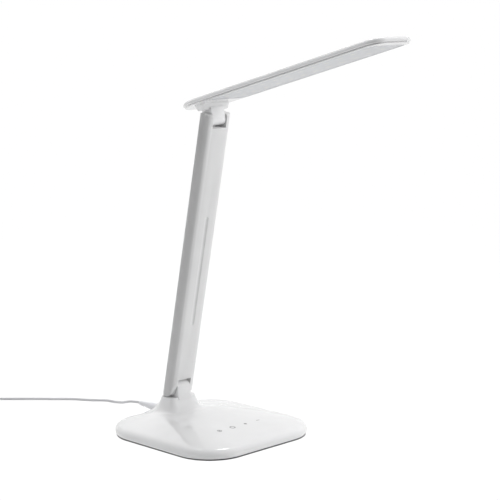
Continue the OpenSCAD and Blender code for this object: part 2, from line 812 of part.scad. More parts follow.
// Head outline seen from above: half oval tail, then the two corners of the tip
function head_outline(inset) = concat(
    [for (a = [0 : 9 : 180])
        [(head_w / 2 - inset) * cos(a), tail_len - tail_oval + (tail_oval - inset) * sin(a)]],
    [for (k = [0 : head_arc]) tip_corner(inset, -1, 180 + 90 * k / head_arc)],
    [for (k = [0 : head_arc]) tip_corner(inset, 1, 270 + 90 * k / head_arc)]
);

function head_ring(inset, z) = [for (p = head_outline(inset)) [p[0], p[1], panel_h + z]];

crown_steps = [0.12, 0.3, 0.55, 0.8];
roll_inset = 1.9;
crown_inset = head_w / 2 - 2;

// Outer side of the frame, up to the parting line
frame_rings = [head_ring(1.2, 0), head_ring(0.35, 0.8), head_ring(0, head_split)];
// Outer side of the cover, from the parting line to the crowned top
cover_rings = concat(
    [head_ring(0, head_split), head_ring(0.15, 3.6), head_ring(0.8, 4.9), head_ring(roll_inset, head_side_t)],
    [for (s = crown_steps)
        head_ring(roll_inset + (crown_inset - roll_inset) * s, head_side_t + head_crown * ease(s))]
);
// Inner side of the cover, which follows the crown
cavity_rings = concat(
    [head_ring(frame_t, head_split), head_ring(frame_t, 3.2), head_ring(frame_t + 1.2, 4.4)],
    [for (s = crown_steps)
        head_ring(roll_inset + 0.8 + (crown_inset - roll_inset - 0.8) * s,
            head_side_t - cover_t + head_crown * ease(s) * 0.95)]
);

led_board_h = 3.9;                 // underside of the light board above the head's underside
led_t = 0.6;
led_board_t = 1;
led_board_size = [36, 208];
led_board_y = -window_y - 4 - led_board_size[1] / 2;
led_screw_places = [for (k = [-1, 0, 1]) led_board_y + k * (led_board_size[1] / 2 - 12)];

module head_cover() color(gloss_white) {
    in_head() difference() {
        union() {
            loft(concat(reversed(cavity_rings), cover_rings));
            for (y = led_screw_places) {
                translate([0, y, panel_h + led_board_h + led_board_t]) cylinder(r = 3, h = 1.6);
            }
        }
        for (y = led_screw_places) {
            translate([0, y, panel_h + led_board_h]) cylinder(r = 0.9, h = 2);
        }
    }
}

window_front = -tip_len + tip_rim;
window_size = [head_w - 2 * lip_w, -window_y - window_front];
window_mid = (window_front - window_y) / 2;

module window_outline(grow) {
    translate([0, window_mid]) rounded_rect(window_size[0] + 2 * grow, window_size[1] + 2 * grow, 8 + grow);
}

// Side view of the housing over the arm's top end: front on the left
housing_front = 4.4;
housing_back = 4;
tongue_root = 2;                  // how far the barrel's block runs up the housing
housing_profile = [
    [-housing_front, housing_h - 0.3], [housing_back, housing_h + 0.3],
    [housing_back + 3.2, panel_h + 0.5], [-housing_front - 3.8, panel_h + 0.5]
];

module head_frame() color(gloss_white) {
    in_head() difference() {
        union() {
            loft(concat(frame_rings, [head_ring(frame_t, head_split), head_ring(frame_t, head_floor)]));
            along_x(arm_w) polygon(housing_profile);
            x_rod(tongue_r, barrel_w, 64);
            translate([-barrel_w / 2, -tongue_r, 0]) cube([barrel_w, 2 * tongue_r, housing_h + tongue_root]);
        }
        translate([0, 0, panel_h - 1]) linear_extrude(10) window_outline(0);
        translate([0, 0, panel_h + lip_t]) linear_extrude(10) window_outline(1.5);
        x_rod(pin_r + pin_gap, barrel_w + 2);
        // room for the steel eye, its stem and the wire
        x_rod(tongue_r - 1.4, slot_w);
        translate([-slot_w / 2, -tongue_r + 1.4, 0]) cube([slot_w, 2 * tongue_r - 2.8, panel_h + 4]);
        translate([wire_x, 0, -tongue_r - 1]) cylinder(r = wire_r + 0.2, h = 4);
        for (p = head_screw_places) {
            translate([p[0], p[1], panel_h - 3]) cylinder(r = screw_r, h = 8);
        }
    }
}

head_floor = 1.6;                  // top of the frame's floor above the head's underside
head_screw_places = [[-11, 0], [11, 0]];
head_plate = [30, 12];
head_plate_t = steel_t - 0.2;

module head_bracket() color(steel) {
    in_head() difference() {
        union() {
            translate([eye_x, 0, 0]) rotate([0, 90, 0]) cylinder(r = tongue_r - 1.9, h = eye_w);
            translate([eye_x, -3.5, 0]) cube([eye_w, 7, panel_h + head_floor + 0.5]);
            translate([-head_plate[0] / 2, -head_plate[1] / 2, panel_h + head_floor])
                cube([head_plate[0], head_plate[1], head_plate_t]);
        }
        x_rod(pin_r + pin_gap, barrel_w);
        // way through for the wire
        translate([eye_x + eye_w + 0.2, -head_plate[1] / 2 - 1, panel_h])
            cube([wire_x + wire_r + 0.2 - eye_x - eye_w, head_plate[1] / 2 + 4, 6]);
        for (p = head_screw_places) {
            translate([p[0], p[1], panel_h]) cylinder(r = screw_r + 0.2, h = 8);
        }
    }
}

module head_bracket_screws() color(steel) {
    in_head() for (p = head_screw_places) {
        translate([p[0], p[1], panel_h + head_floor + head_plate_t])
            cylinder(r = screw_head_r, h = screw_head_h - 0.2);
        translate([p[0], p[1], panel_h - 2.6]) cylinder(r = screw_r, h = head_floor + steel_t + 2.4 + eps);
    }
}

module diffuser() color(opal_white) {
    in_head() translate([0, 0, panel_h + lip_t]) linear_extrude(diffuser_t) window_outline(1.3);
}

module led_board() color([0.92, 0.92, 0.9]) {
    in_head() difference() {
        translate([0, led_board_y, panel_h + led_board_h]) linear_extrude(led_board_t)
            rounded_rect(led_board_size[0], led_board_size[1], 3);
        for (y = led_screw_places) {
            translate([0, y, panel_h]) cylinder(r = 1.1, h = 8);
        }
    }
}

led_rows = [-11, 11];
led_count = 12;
led_pitch = 17;

module leds() color([0.98, 0.93, 0.6]) {
    in_head() for (x = led_rows, k = [0 : led_count - 1]) {
        translate([x - 1.4, led_board_y + (k - (led_count - 1) / 2) * led_pitch - 1.75,
            panel_h + led_board_h - led_t]) cube([2.8, 3.5, led_t]);
    }
}

module led_board_screws() color(steel) {
    in_head() for (y = led_screw_places) {
        translate([0, y, panel_h + led_board_h - 0.6]) cylinder(r = 1.8, h = 0.6);
        translate([0, y, panel_h + led_board_h - eps]) cylinder(r = 0.9, h = led_board_t + 1);
    }
}

head_wire_y = 0.6;
head_wire_route = [
    [wire_x, -window_y - 3.9, panel_h + led_board_h + 0.4], [wire_x, -16, panel_h + led_board_h + 0.2],
    [wire_x, -8, panel_h + 3.8], [wire_x, -2.5, panel_h + 3.4], [wire_x, head_wire_y, panel_h + 1.2],
    [wire_x, head_wire_y, panel_h - 3], [wire_x, head_wire_y, pin_r + 2]
];

// The wire's rings are built sideways, because it runs up as well as along
module head_wire() color(grey_cord) {
    in_head() rotate([0, 90, 0]) tube([for (p = spline(head_wire_route, 3)) [-p[2], p[1], p[0]]], wire_r, 6);
}

// ---------- cord, coil and adapter ----------
cord_r = cord_d / 2;
plug_y = jack_end_y + 0.3;
cord_exit = [0, plug_y + plug_len, plug_z];
coil_base_z = cord_r + 0.85;
coil_start = [-96, 286, coil_base_z];
coil_start_angle = 45;
coil_in_dir = unit([-1, 1, 0]);
coil_join = coil_start - cord_d * coil_in_dir;
cord_points = [
    cord_exit + [0, cord_d, 0], [1, 128, 9.6], [2.5, 137, 7], [4.5, 147, 4.2],
    [6, 157, 2.4], [6.5, 166, 1.5], [5, 174, 1.4], [-1, 181.5, 1.4], [-7, 188.5, 1.4],
    [-12, 196.5, 1.4], [-17, 204.5, 1.4], [-23.5, 212, 1.4], [-31.5, 220, 1.4],
    [-42, 231.5, 1.4], [-55, 245, 1.4], [-70, 260, 1.4], [-82, 272, 1.7],
    coil_join - cord_d * coil_in_dir
];
coil_turns = coil_layers * coil_layer_turns - coil_start_angle / 360;
coil_outer = coil_r + coil_pitch * coil_turns / coil_layers / 2;
coil_centre = [coil_start[0], coil_start[1]]
    - coil_outer * [cos(coil_start_angle), sin(coil_start_angle)];

// Share of a turn spiral: 0 at the outer edge, 1 at the inner edge, and back again
function coil_depth(turn) =
    let (per_layer = coil_turns / coil_layers)
    let (phase = turn / per_layer)
    let (whole = floor(phase))
    whole % 2 == 0 ? phase - whole : 1 - (phase - whole);
function smooth(t) = t * t * (3 - 2 * t);
// Layers climbed at a turn: each climb takes the half turn round a reversal
function coil_climb(turn, k = 1) =
    k >= coil_layers ? 0 :
    smooth(max(0, min(1, (turn - k * coil_turns / coil_layers) / 0.5 + 0.5))) + coil_climb(turn, k + 1);
function coil_point(turn) =
    let (a = coil_start_angle + 360 * turn)
    let (r = coil_outer - coil_depth(turn) * coil_pitch * coil_turns / coil_layers)
    [coil_centre[0] + r * cos(a), coil_centre[1] + r * sin(a),
        coil_base_z + coil_pitch * coil_climb(turn)];
coil_loop_rings = 24;
coil_ring_count = round(coil_turns * coil_loop_rings);
coil_body = [for (i = [0 : coil_ring_count]) coil_point(coil_turns * i / coil_ring_count)];
coil_end = last(coil_body);
coil_end_dir = [0, 1, 0];
coil_path = concat([coil_join], coil_body, [coil_end + cord_d * coil_end_dir]);

// Least gap between two windings, measured between ring centres more than half a turn apart
coil_gap = min([for (i = [0 : len(coil_body) - 1], j = [i + 13 : 1 : len(coil_body) - 1])
    norm(coil_body[i] - coil_body[j])]) - cord_d;

relief_len = 12;
relief_z = 9;
adapter_y = 298;
adapter_x = -95;
tail_start = last(coil_path);
tail_end = [tail_start[0], adapter_y - relief_len, relief_z];
tail_points = [
    tail_start + [0, cord_d, 0], (tail_start + tail_end) / 2, tail_end - [0, cord_d, 0]
];
free_path = concat([cord_exit], spline(cord_points, 2), [coil_join]);
tail_path = concat([tail_start], spline(tail_points, 3), [tail_end]);

module cord_free() color(grey_cord) {
    tube(free_path, cord_r, 8);
}

module cord_coil() color(grey_cord) {
    tube(coil_path, cord_r, 6);
    echo(coil_gap = coil_gap);
    echo(cord_length = path_length(free_path) + path_length(coil_path) + path_length(tail_path));
}

module cord_tail() color(grey_cord) {
    tube(tail_path, cord_r, 8);
}

// A flat strap round the windings, on the far side of the coil
tie_w = 5;
tie_t = 0.75;
module coil_tie() color(dark_rubber) {
    inside_w = coil_pitch * coil_layer_turns + cord_d + 0.6;
    inside_h = coil_pitch * (coil_layers - 1) + cord_d + 0.2;
    translate([coil_centre[0], coil_centre[1], 0]) rotate([0, 0, 200])
        translate([coil_r, 0, coil_base_z - cord_r - 0.1 + inside_h / 2]) rotate([90, 0, 0])
        linear_extrude(tie_w, center = true) difference() {
            rounded_rect(inside_w + 2 * tie_t, inside_h + 2 * tie_t, 2);
            rounded_rect(inside_w, inside_h, 1.3);
        }
}

// Moulded plug: tapers from the lamp to the cord, with three ribs near the cord
rib_y = [plug_len - 8.6, plug_len - 5.8, plug_len - 3];
module dc_plug_body() color(grey_cord) {
    translate([0, plug_y, plug_z]) rotate([-90, 0, 0]) difference() {
        union() {
            cylinder(r1 = plug_r, r2 = plug_r - 0.3, h = 8);
            translate([0, 0, 8]) cylinder(r1 = plug_r - 0.3, r2 = 3.1, h = plug_len - 18);
            translate([0, 0, plug_len - 10]) cylinder(r1 = 3.1, r2 = 2, h = 10);
            for (y = rib_y) {
                translate([0, 0, y]) cylinder(r = 3.1 - (y - rib_y[0]) * 0.08, h = 1.3);
            }
        }
        translate([0, 0, -eps]) cylinder(r = 2.8, h = 2);
    }
}

module dc_plug_tip() color(steel) {
    translate([0, plug_y, plug_z]) rotate([90, 0, 0]) difference() {
        translate([0, 0, -2 + 2 * eps]) cylinder(r = 2.75, h = 11);
        cylinder(r = 1.05, h = 12);
    }
}

adapter_wall = 2;
adapter_corner_r = 5;

module adapter_body(z0, z1) {
    difference() {
        translate([adapter_x, adapter_y + adapter_d / 2, z0]) linear_extrude(z1 - z0)
            rounded_rect(adapter_w, adapter_d, adapter_corner_r);
        translate([adapter_x, adapter_y + adapter_d / 2, adapter_wall])
            linear_extrude(adapter_h - 2 * adapter_wall)
            rounded_rect(adapter_w - 2 * adapter_wall, adapter_d - 2 * adapter_wall,
                adapter_corner_r - adapter_wall);
        translate([tail_end[0], adapter_y - 1, relief_z]) rotate([-90, 0, 0]) cylinder(r = 3.1, h = 6);
        for (s = [-1, 1]) {
            translate([case_x, prong_y(s), adapter_h / 2]) x_rod(prong_grip_r, 12);
        }
    }
}

function prong_y(s) = adapter_y + adapter_d / 2 + s * prong_pitch / 2;

module adapter_top() color(gloss_white) {
    adapter_body(adapter_h / 2, adapter_h);
}

module adapter_bottom() color(gloss_white) {
    adapter_body(0, adapter_h / 2);
}

prong_grip_r = prong_d / 2 + 0.7;
prong_grip = 8;
case_x = adapter_x - adapter_w / 2;   // face of the case that the pins stand on

// A thicker root holds each pin in the case's wall
module adapter_pins() color(steel) {
    for (s = [-1, 1]) {
        translate([case_x - prong_len / 2 + eps, prong_y(s), adapter_h / 2])
            x_rod(prong_d / 2, prong_len + 2 * eps);
        translate([case_x + prong_grip / 2, prong_y(s), adapter_h / 2]) x_rod(prong_grip_r, prong_grip);
    }
}

module adapter_relief() color(grey_cord) {
    translate([tail_end[0], tail_end[1], relief_z]) rotate([-90, 0, 0]) {
        cylinder(r1 = cord_r + 0.5, r2 = 3, h = relief_len);
        translate([0, 0, relief_len - eps]) cylinder(r = 3, h = 2.5);
        translate([0, 0, relief_len + 2.5 - 2 * eps]) cylinder(r = 4, h = 1.2);
    }
}

adapter_board_z = 6;
adapter_board_size = [38, 24];
adapter_board_pos = [adapter_x - 20, adapter_y + 6];
adapter_peg_r = 1.6;
transformer_size = [15, 15, 12];
transformer_pos = [12, 4];        // on its board

module adapter_board() color(board_green) {
    translate([adapter_board_pos[0], adapter_board_pos[1], adapter_board_z])
        cube([adapter_board_size[0], adapter_board_size[1], board_t]);
    for (x = [3, adapter_board_size[0] - 3], y = [3, adapter_board_size[1] - 3]) {
        translate([adapter_board_pos[0] + x, adapter_board_pos[1] + y, adapter_wall])
            cylinder(r = adapter_peg_r, h = adapter_board_z - adapter_wall + eps);
    }
}

module adapter_transformer() color([0.85, 0.75, 0.2]) {
    translate([adapter_board_pos[0] + transformer_pos[0], adapter_board_pos[1] + transformer_pos[1],
        adapter_board_z + board_t]) cube(transformer_size);
}

base_shell();
base_plate();
foot_pad();
ballast_plate();
base_screws();
neck_bracket();
neck_bracket_screws();
driver_board();
driver_parts();
touch_board();
touch_pads();
dc_jack();
jack_wires();
base_wire();
arm_front_shell();
arm_back_shell();
lower_arm_bracket();
upper_arm_bracket();
arm_bracket_screws();
arm_wire();
lower_hinge_pin();
lower_hinge_nut();
lower_friction_washers();
upper_hinge_pin();
upper_hinge_nut();
upper_friction_washers();
head_frame();
head_cover();
head_bracket();
head_bracket_screws();
diffuser();
led_board();
leds();
led_board_screws();
head_wire();
dc_plug_body();
dc_plug_tip();
cord_free();
cord_coil();
cord_tail();
coil_tie();
adapter_top();
adapter_bottom();
adapter_pins();
adapter_relief();
adapter_board();
adapter_transformer();
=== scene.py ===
import math

import bmesh
import bpy
from bpy.props import FloatProperty, FloatVectorProperty, IntProperty, PointerProperty
from mathutils import Matrix, Vector


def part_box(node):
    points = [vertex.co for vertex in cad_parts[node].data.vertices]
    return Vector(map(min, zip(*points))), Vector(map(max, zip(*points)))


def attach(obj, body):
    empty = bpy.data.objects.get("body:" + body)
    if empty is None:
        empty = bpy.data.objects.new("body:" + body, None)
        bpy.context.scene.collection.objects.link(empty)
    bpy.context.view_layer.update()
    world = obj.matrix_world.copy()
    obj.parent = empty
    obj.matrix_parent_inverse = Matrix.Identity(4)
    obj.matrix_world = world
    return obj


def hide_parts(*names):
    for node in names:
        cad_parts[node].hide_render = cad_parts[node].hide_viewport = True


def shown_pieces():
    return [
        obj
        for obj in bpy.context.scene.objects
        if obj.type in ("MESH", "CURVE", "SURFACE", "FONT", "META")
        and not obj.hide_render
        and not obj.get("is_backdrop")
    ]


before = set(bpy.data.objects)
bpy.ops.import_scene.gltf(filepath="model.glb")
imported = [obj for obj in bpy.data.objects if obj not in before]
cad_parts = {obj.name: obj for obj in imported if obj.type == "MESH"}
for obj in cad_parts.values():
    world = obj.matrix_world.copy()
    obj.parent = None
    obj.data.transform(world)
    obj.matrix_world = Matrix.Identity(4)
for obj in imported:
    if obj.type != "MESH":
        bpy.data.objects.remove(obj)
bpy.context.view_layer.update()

bl_info = {
    "name": "Folding LED desk lamp",
    "version": (1, 0, 0),
    "blender": (4, 5, 0),
    "location": "View3D > Sidebar > Desk lamp",
    "description": "Builds a folding desk lamp with a domed base, a flat arm and a slim head",
    "category": "Add Mesh",
}

MM = 0.001

# fits that several pieces share, in millimetres
SOCKET_Z = 11.5  # height of the axis of the socket and the plug
PLUG_Y = 81.8  # distance of the plug's face behind the middle of the base
PIN_BORE = 2.58  # radius of the bore round a hinge pin
PIN_REACH = 12  # how far that bore reaches to each side
EYE_SLOT = 9.0  # width of the room for a steel eye
EYE_CORNER = 0.4  # corner radius of the room for its stem
SHADE_ANGLE = 34  # edges sharper than this, in degrees, stay crisp


# ---------- sizes and finishes a user would change ----------

def length(name, description, millimetres):
    return FloatProperty(name=name, description=description, default=millimetres * MM, unit="LENGTH")


def angle(name, description, degrees):
    return FloatProperty(name=name, description=description, default=math.radians(degrees), subtype="ANGLE")


def colour(name, description, value):
    return FloatVectorProperty(name=name, description=description, default=value, size=3,
                               min=0.0, max=1.0, subtype="COLOR")


class BaseSizes(bpy.types.PropertyGroup):
    """Sizes of the domed base, its neck and the lower hinge"""
    width: length("Base width", "Widest width and depth of the base", 166)
    corner: length("Corner radius", "Corner radius of the base outline", 42)
    dome: length("Dome height", "Height of the dome at its middle", 18)
    roll: length("Rolled edge", "Width of the rolled edge seen from above", 6)
    roll_height: length("Rolled edge height", "Height where the rolled edge meets the dome", 11)
    pad: length("Foot pad", "Thickness of the dark foot pad", 1.3)
    wall: length("Wall", "Wall of the shell", 2.2)
    shoulder: length("Shoulder height", "Height of the shoulder under the arm's ears", 32.2)
    flare: length("Flare", "How far the foot of the neck flares over the dome", 16)
    ramp: length("Rear ramp", "How far the neck runs out behind, over the socket", 30)
    barrel: length("Hinge barrel", "Radius of the hinge barrel on the neck", 9.8)
    barrel_width: length("Hinge barrel width", "Width of the hinge barrel between the ears", 18.2)
    hinge_y: length("Hinge depth", "Distance of the lower hinge behind the middle of the base", 50.4)
    hinge_z: length("Hinge height", "Height of the lower hinge above the table", 39.6)
    mark_pitch: length("Mark spacing", "Distance from one touch mark to the next", 18.6)
    mark_y: length("Mark row", "Distance of the touch marks in front of the middle", 40.8)


class ArmSizes(bpy.types.PropertyGroup):
    """Sizes of the arm"""
    width: length("Arm width", "Width of the arm", 34.7)
    depth: length("Arm depth", "Thickness of the arm", 16.3)
    reach: length("Hinge distance", "Distance between the two hinges", 295)
    lean: angle("Lean", "Forward lean of the open arm", 11.2)
    edge: length("Edge rounding", "Rounding of the edges round the notches and the groove", 0.45)
    corner: length("Corner radius", "Corner radius of the arm's section", 5)
    soft_corner: length("Moulded corner radius", "Radius to which the section's corners are eased", 7.6)
    crown: length("Crown", "How far the front and back faces bulge", 0.8)


class HeadSizes(bpy.types.PropertyGroup):
    """Sizes of the lamp head"""
    width: length("Head width", "Width of the head", 58.5)
    tip: length("Tip distance", "Distance from the upper hinge to the tip", 249)
    tail: length("Tail distance", "Distance from the upper hinge to the tail", 30.7)
    tail_oval: length("Tail oval", "Length of the half oval tail", 37)
    tip_corner: length("Tip corner", "Corner radius of the tip", 15)
    underside: length("Underside", "Distance from the upper hinge to the underside", 15.5)
    side: length("Side height", "Height of the side where it rolls over", 5.8)
    crown: length("Crown", "Extra height of the crowned top", 1.5)
    barrel: length("Hinge barrel", "Radius of the head's hinge barrel", 6.8)
    barrel_width: length("Hinge barrel width", "Width of the head's hinge barrel", 18.2)
    tilt: angle("Tilt", "Upward tilt of the head in the open lamp", 15.8)


class CordSizes(bpy.types.PropertyGroup):
    """Sizes of the lead and its coil"""
    diameter: length("Cord diameter", "Diameter of the round lead", 2.8)
    coil_radius: length("Coil radius", "Mean radius of the put-away coil", 16.8)
    coil_pitch: length("Coil pitch", "Distance from one turn to the next", 3.3)
    layers: IntProperty(name="Coil layers", description="Number of layers in the coil",
                        default=4, min=2, max=6)
    layer_turns: IntProperty(name="Turns in a layer", description="Turns in each layer of the coil",
                             default=3, min=2, max=6)
    exit_y: length("Cord exit", "Distance of the plug's end behind the middle of the base", 111.8)
    exit_z: length("Cord exit height", "Height of the plug's axis above the table", 11.5)


class Finishes(bpy.types.PropertyGroup):
    """Colours of the visible plastics"""
    gloss_white: colour("Gloss white", "Base shell and lamp head", (0.88, 0.88, 0.885))
    satin_white: colour("Satin white", "Arm shells", (0.80, 0.80, 0.80))
    opal: colour("Opal", "Diffuser under the head", (0.72, 0.73, 0.75))
    cord_grey: colour("Cord grey", "Lead, plug and strain relief", (0.66, 0.66, 0.68))
    rubber: colour("Rubber", "Foot pad and strap", (0.022, 0.022, 0.024))
    mark_grey: colour("Mark grey", "Printed touch marks", (0.15, 0.15, 0.155))


# ---------- shader sums ----------

def operator(operation, flipped=False):
    """An operator of Flow: it adds its own Math node, with the two sides swapped where flipped."""
    def method(self, other):
        sides = (other, self) if flipped else (self, other)
        return self.paint.maths(operation, *sides)
    return method


class Flow:
    """A shader socket that works in sums."""

    def __init__(self, paint, socket):
        self.paint, self.socket = paint, socket

    __add__, __radd__ = operator("ADD"), operator("ADD", True)
    __sub__, __rsub__ = operator("SUBTRACT"), operator("SUBTRACT", True)
    __mul__, __rmul__ = operator("MULTIPLY"), operator("MULTIPLY", True)
    __pow__ = operator("POWER")


class Paint:
    """One material in the making."""

    def __init__(self, name="", tree=None):
        self.material = None
        if not tree:
            self.material = bpy.data.materials.new(name)
            self.material.use_nodes = True
        self.tree = tree or self.material.node_tree
        self.tree.nodes.clear()
        self.place = self.add("ShaderNodeTexCoord", out="Object")

    def add(self, kind, settings=None, sockets=None, out=0):
        """Add a node: its settings first, then the values or links of its sockets."""
        node = self.tree.nodes.new(kind)
        for key, value in (settings or {}).items():
            setattr(node, key, value)
        for key, value in (sockets or {}).items():
            socket = node.inputs[key]
            if isinstance(value, Flow):
                self.tree.links.new(value.socket, socket)
            elif socket.type == "RGBA" and len(value) == 3:
                socket.default_value = (*value, 1.0)
            else:
                socket.default_value = value
        return Flow(self, node.outputs[out])

    def noise(self, scale, detail=2.0, place=None):
        return self.add("ShaderNodeTexNoise", None,
                        {"Vector": place or self.place, "Scale": scale, "Detail": detail})

    def mapped(self, **sockets):
        """Object coordinates scaled, turned and moved by the Mapping node's own sockets."""
        return self.add("ShaderNodeMapping", {"vector_type": "POINT"}, {"Vector": self.place, **sockets})

    def parts(self, vector):
        """The x, y and z of a vector."""
        node = self.add("ShaderNodeSeparateXYZ", None, {0: vector}).socket.node
        return [Flow(self, socket) for socket in node.outputs]

    def limit(self, value, low, high):
        """0 below low, 1 above high, and a smooth step between."""
        return self.add("ShaderNodeMapRange", {"interpolation_type": "SMOOTHSTEP", "clamp": True},
                        {"Value": value, "From Min": low, "From Max": high, "To Min": 0.0, "To Max": 1.0})

    def mix(self, factor, a, b):
        return self.add("ShaderNodeMix", {"data_type": "RGBA"}, {0: factor, 6: a, 7: b}, 2)

    def maths(self, operation, *values):
        return self.add("ShaderNodeMath", {"operation": operation}, dict(enumerate(values)))

    def bump(self, height, strength, distance):
        sockets = {"Height": height, "Strength": strength, "Distance": distance}
        return self.add("ShaderNodeBump", None, sockets)

    def matt(self, value):
        return self.add("ShaderNodeBsdfDiffuse", None, {"Color": (value, value, value)})

    def clear(self, value=1.0):
        return self.add("ShaderNodeBsdfTransparent", None, {"Color": (value, value, value)})

    def both(self, a, b):
        return self.add("ShaderNodeAddShader", None, {0: a, 1: b})

    def either(self, factor, a, b):
        return self.add("ShaderNodeMixShader", None, {0: factor, 1: a, 2: b})

    def finish(self, **sockets):
        """The surface itself: names of Principled sockets with _ for each space."""
        wanted = {key.replace("_", " "): value for key, value in sockets.items()}
        surface = self.add("ShaderNodeBsdfPrincipled", None, wanted, "BSDF")
        self.add_output(surface)
        return self.material

    def shown(self, share=1.0):
        """1 for what the camera or glass shows, that share for reflections, 0 for light on surfaces."""
        path = self.add("ShaderNodeLightPath").socket.node
        names = ("Is Camera Ray", "Is Glossy Ray", "Is Transmission Ray")
        seen, mirrored, through_glass = (Flow(self, path.outputs[name]) for name in names)
        return self.maths("MAXIMUM", seen, self.maths("MAXIMUM", mirrored * share, through_glass))

    def add_output(self, surface, kind="ShaderNodeOutputMaterial"):
        node = self.tree.nodes.new(kind)
        self.tree.links.new(surface.socket, node.inputs["Surface"])


def shade(value, factor):
    return tuple(min(1.0, channel * factor) for channel in value)


def finish_tone(name):
    return tuple(getattr(bpy.context.scene.desk_finishes, name))


def moulded(name, tone, roughness, coat=0.0, coat_ior=1.5, grain=900.0, relief=0.02, clouds=30.0,
            drift=0.015):
    """Moulded plastic: faint flow clouds, fine moulding grain and slightly uneven polish."""
    paint = Paint(name)
    cloud = paint.noise(clouds, 3.0)
    fine = paint.noise(grain, 2.0)
    polish = paint.noise(clouds * 4.0, 2.0)
    base = paint.mix(paint.limit(cloud, 0.3, 0.7), shade(tone, 1 - drift), shade(tone, 1 + drift))
    return paint.finish(Base_Color=base,
                        Roughness=roughness * (0.88 + 0.24 * polish),
                        Coat_Weight=coat, Coat_Roughness=0.03, Coat_IOR=coat_ior,
                        Normal=paint.bump(fine, relief, 0.0004))


def metal(name, tone, roughness, stretch=(1, 1, 12), grain=1400.0):
    """Drawn and tumbled metal: fine lines one way and duller patches."""
    paint = Paint(name)
    lines = paint.noise(grain, 2.0, paint.mapped(Scale=stretch))
    patches = paint.noise(120.0, 3.0)
    base = paint.mix(paint.limit(patches, 0.35, 0.75), shade(tone, 0.9), shade(tone, 1.05))
    return paint.finish(Base_Color=base, Metallic=1.0,
                        Roughness=roughness + 0.15 * lines,
                        Normal=paint.bump(lines, 0.15, 0.0002))


def circuit_board(name, mask, track):
    """Solder mask over copper tracks, with round pads."""
    paint = Paint(name)
    cells = paint.add("ShaderNodeTexBrick", {"offset": 0.5},
                      {"Vector": paint.place, "Scale": 180.0, "Mortar Size": 0.12}, "Fac")
    pads = paint.add("ShaderNodeTexVoronoi", None, {"Vector": paint.place, "Scale": 320.0}, "Distance")
    dots = 1 - paint.limit(pads, 0.16, 0.22)
    lines = paint.limit(cells, 0.4, 0.6)
    green = paint.mix(lines * 0.8, mask, track)
    base = paint.mix(dots, green, (0.72, 0.70, 0.62))
    return paint.finish(Base_Color=base, Roughness=0.42 - 0.15 * dots,
                        Metallic=0.6 * dots, Normal=paint.bump(lines, 0.3, 0.0001))


# ---------- modelling ----------

def deselect():
    bpy.ops.object.select_all(action="DESELECT")


def only(obj):
    """Make this the one selected and active object."""
    deselect()
    obj.select_set(True)
    bpy.context.view_layer.objects.active = obj


def apply_all(obj):
    only(obj)
    for modifier in list(obj.modifiers):
        bpy.ops.object.modifier_apply(modifier=modifier.name)


def fix_normals(obj):
    only(obj)
    bpy.ops.object.mode_set(mode="EDIT")
    bpy.ops.mesh.select_all(action="SELECT")
    bpy.ops.mesh.remove_doubles(threshold=1e-6)
    bpy.ops.mesh.normals_make_consistent(inside=False)
    bpy.ops.object.mode_set(mode="OBJECT")


def smooth(obj, angle=32.0):
    only(obj)
    bpy.ops.object.shade_smooth_by_angle(angle=math.radians(angle))


def loft(name, rings, place=Matrix.Identity(4), closed=False):
    """Add a circle, extrude it ring by ring and set each ring's place, in millimetres, then cap both ends.
    With closed, the last ring joins the first instead, as in a hoop."""
    count = len(rings[0])
    deselect()
    bpy.ops.mesh.primitive_circle_add(vertices=count, radius=MM)
    obj = bpy.context.object
    obj.name = name
    bpy.ops.object.mode_set(mode="EDIT")
    mesh = bmesh.from_edit_mesh(obj.data)
    number = mesh.verts.layers.int.new("ring_point")
    mesh.verts.ensure_lookup_table()
    for index, vert in enumerate(mesh.verts):
        vert[number] = index
        vert.co = Vector(rings[0][index]) * MM
    for ring in rings[1:]:
        bpy.ops.mesh.extrude_edges_move()
        mesh = bmesh.from_edit_mesh(obj.data)
        number = mesh.verts.layers.int["ring_point"]
        for vert in mesh.verts:
            if vert.select:
                vert.co = Vector(ring[vert[number]]) * MM
    if closed:
        bpy.ops.mesh.select_non_manifold(extend=True, use_boundary=True)
        bpy.ops.mesh.bridge_edge_loops()
    else:
        bpy.ops.mesh.edge_face_add()
        bpy.ops.mesh.select_all(action="DESELECT")
        bpy.ops.mesh.select_non_manifold(use_wire=False, use_multi_face=False, use_non_contiguous=False,
                                         use_verts=False)
        bpy.ops.mesh.edge_face_add()
    bpy.ops.mesh.select_all(action="SELECT")
    bpy.ops.mesh.normals_make_consistent(inside=False)
    bpy.ops.object.mode_set(mode="OBJECT")
    obj.data.transform(place_in_metres(place))
    return obj


def place_in_metres(place):
    result = place.copy()
    result.translation = place.translation * MM
    return result


def combine(obj, other, operation):
    """Join, cut or keep the overlap of two solids, and remove the other one."""
    only(obj)
    modifier = obj.modifiers.new("combine", "BOOLEAN")
    modifier.operation = operation
    modifier.solver = "EXACT"
    modifier.object = other
    bpy.ops.object.modifier_apply(modifier=modifier.name)
    bpy.data.objects.remove(other)
    return obj


def rounded_outline(width, depth, radius, arc, side):
    """Points of a rounded rectangle, counter-clockwise from the right side's front end of the arc."""
    points = []
    centres = [(sx * (width / 2 - radius), sy * (depth / 2 - radius))
               for sx, sy in ((1, 1), (-1, 1), (-1, -1), (1, -1))]
    for quarter in range(4):
        centre, following = centres[quarter], centres[(quarter + 1) % 4]
        for step in range(arc + side):
            turn = math.radians(90 * (quarter + min(step, arc) / arc))
            t = max(0, step - arc) / side
            points.append((centre[0] * (1 - t) + following[0] * t + radius * math.cos(turn),
                           centre[1] * (1 - t) + following[1] * t + radius * math.sin(turn)))
    return points


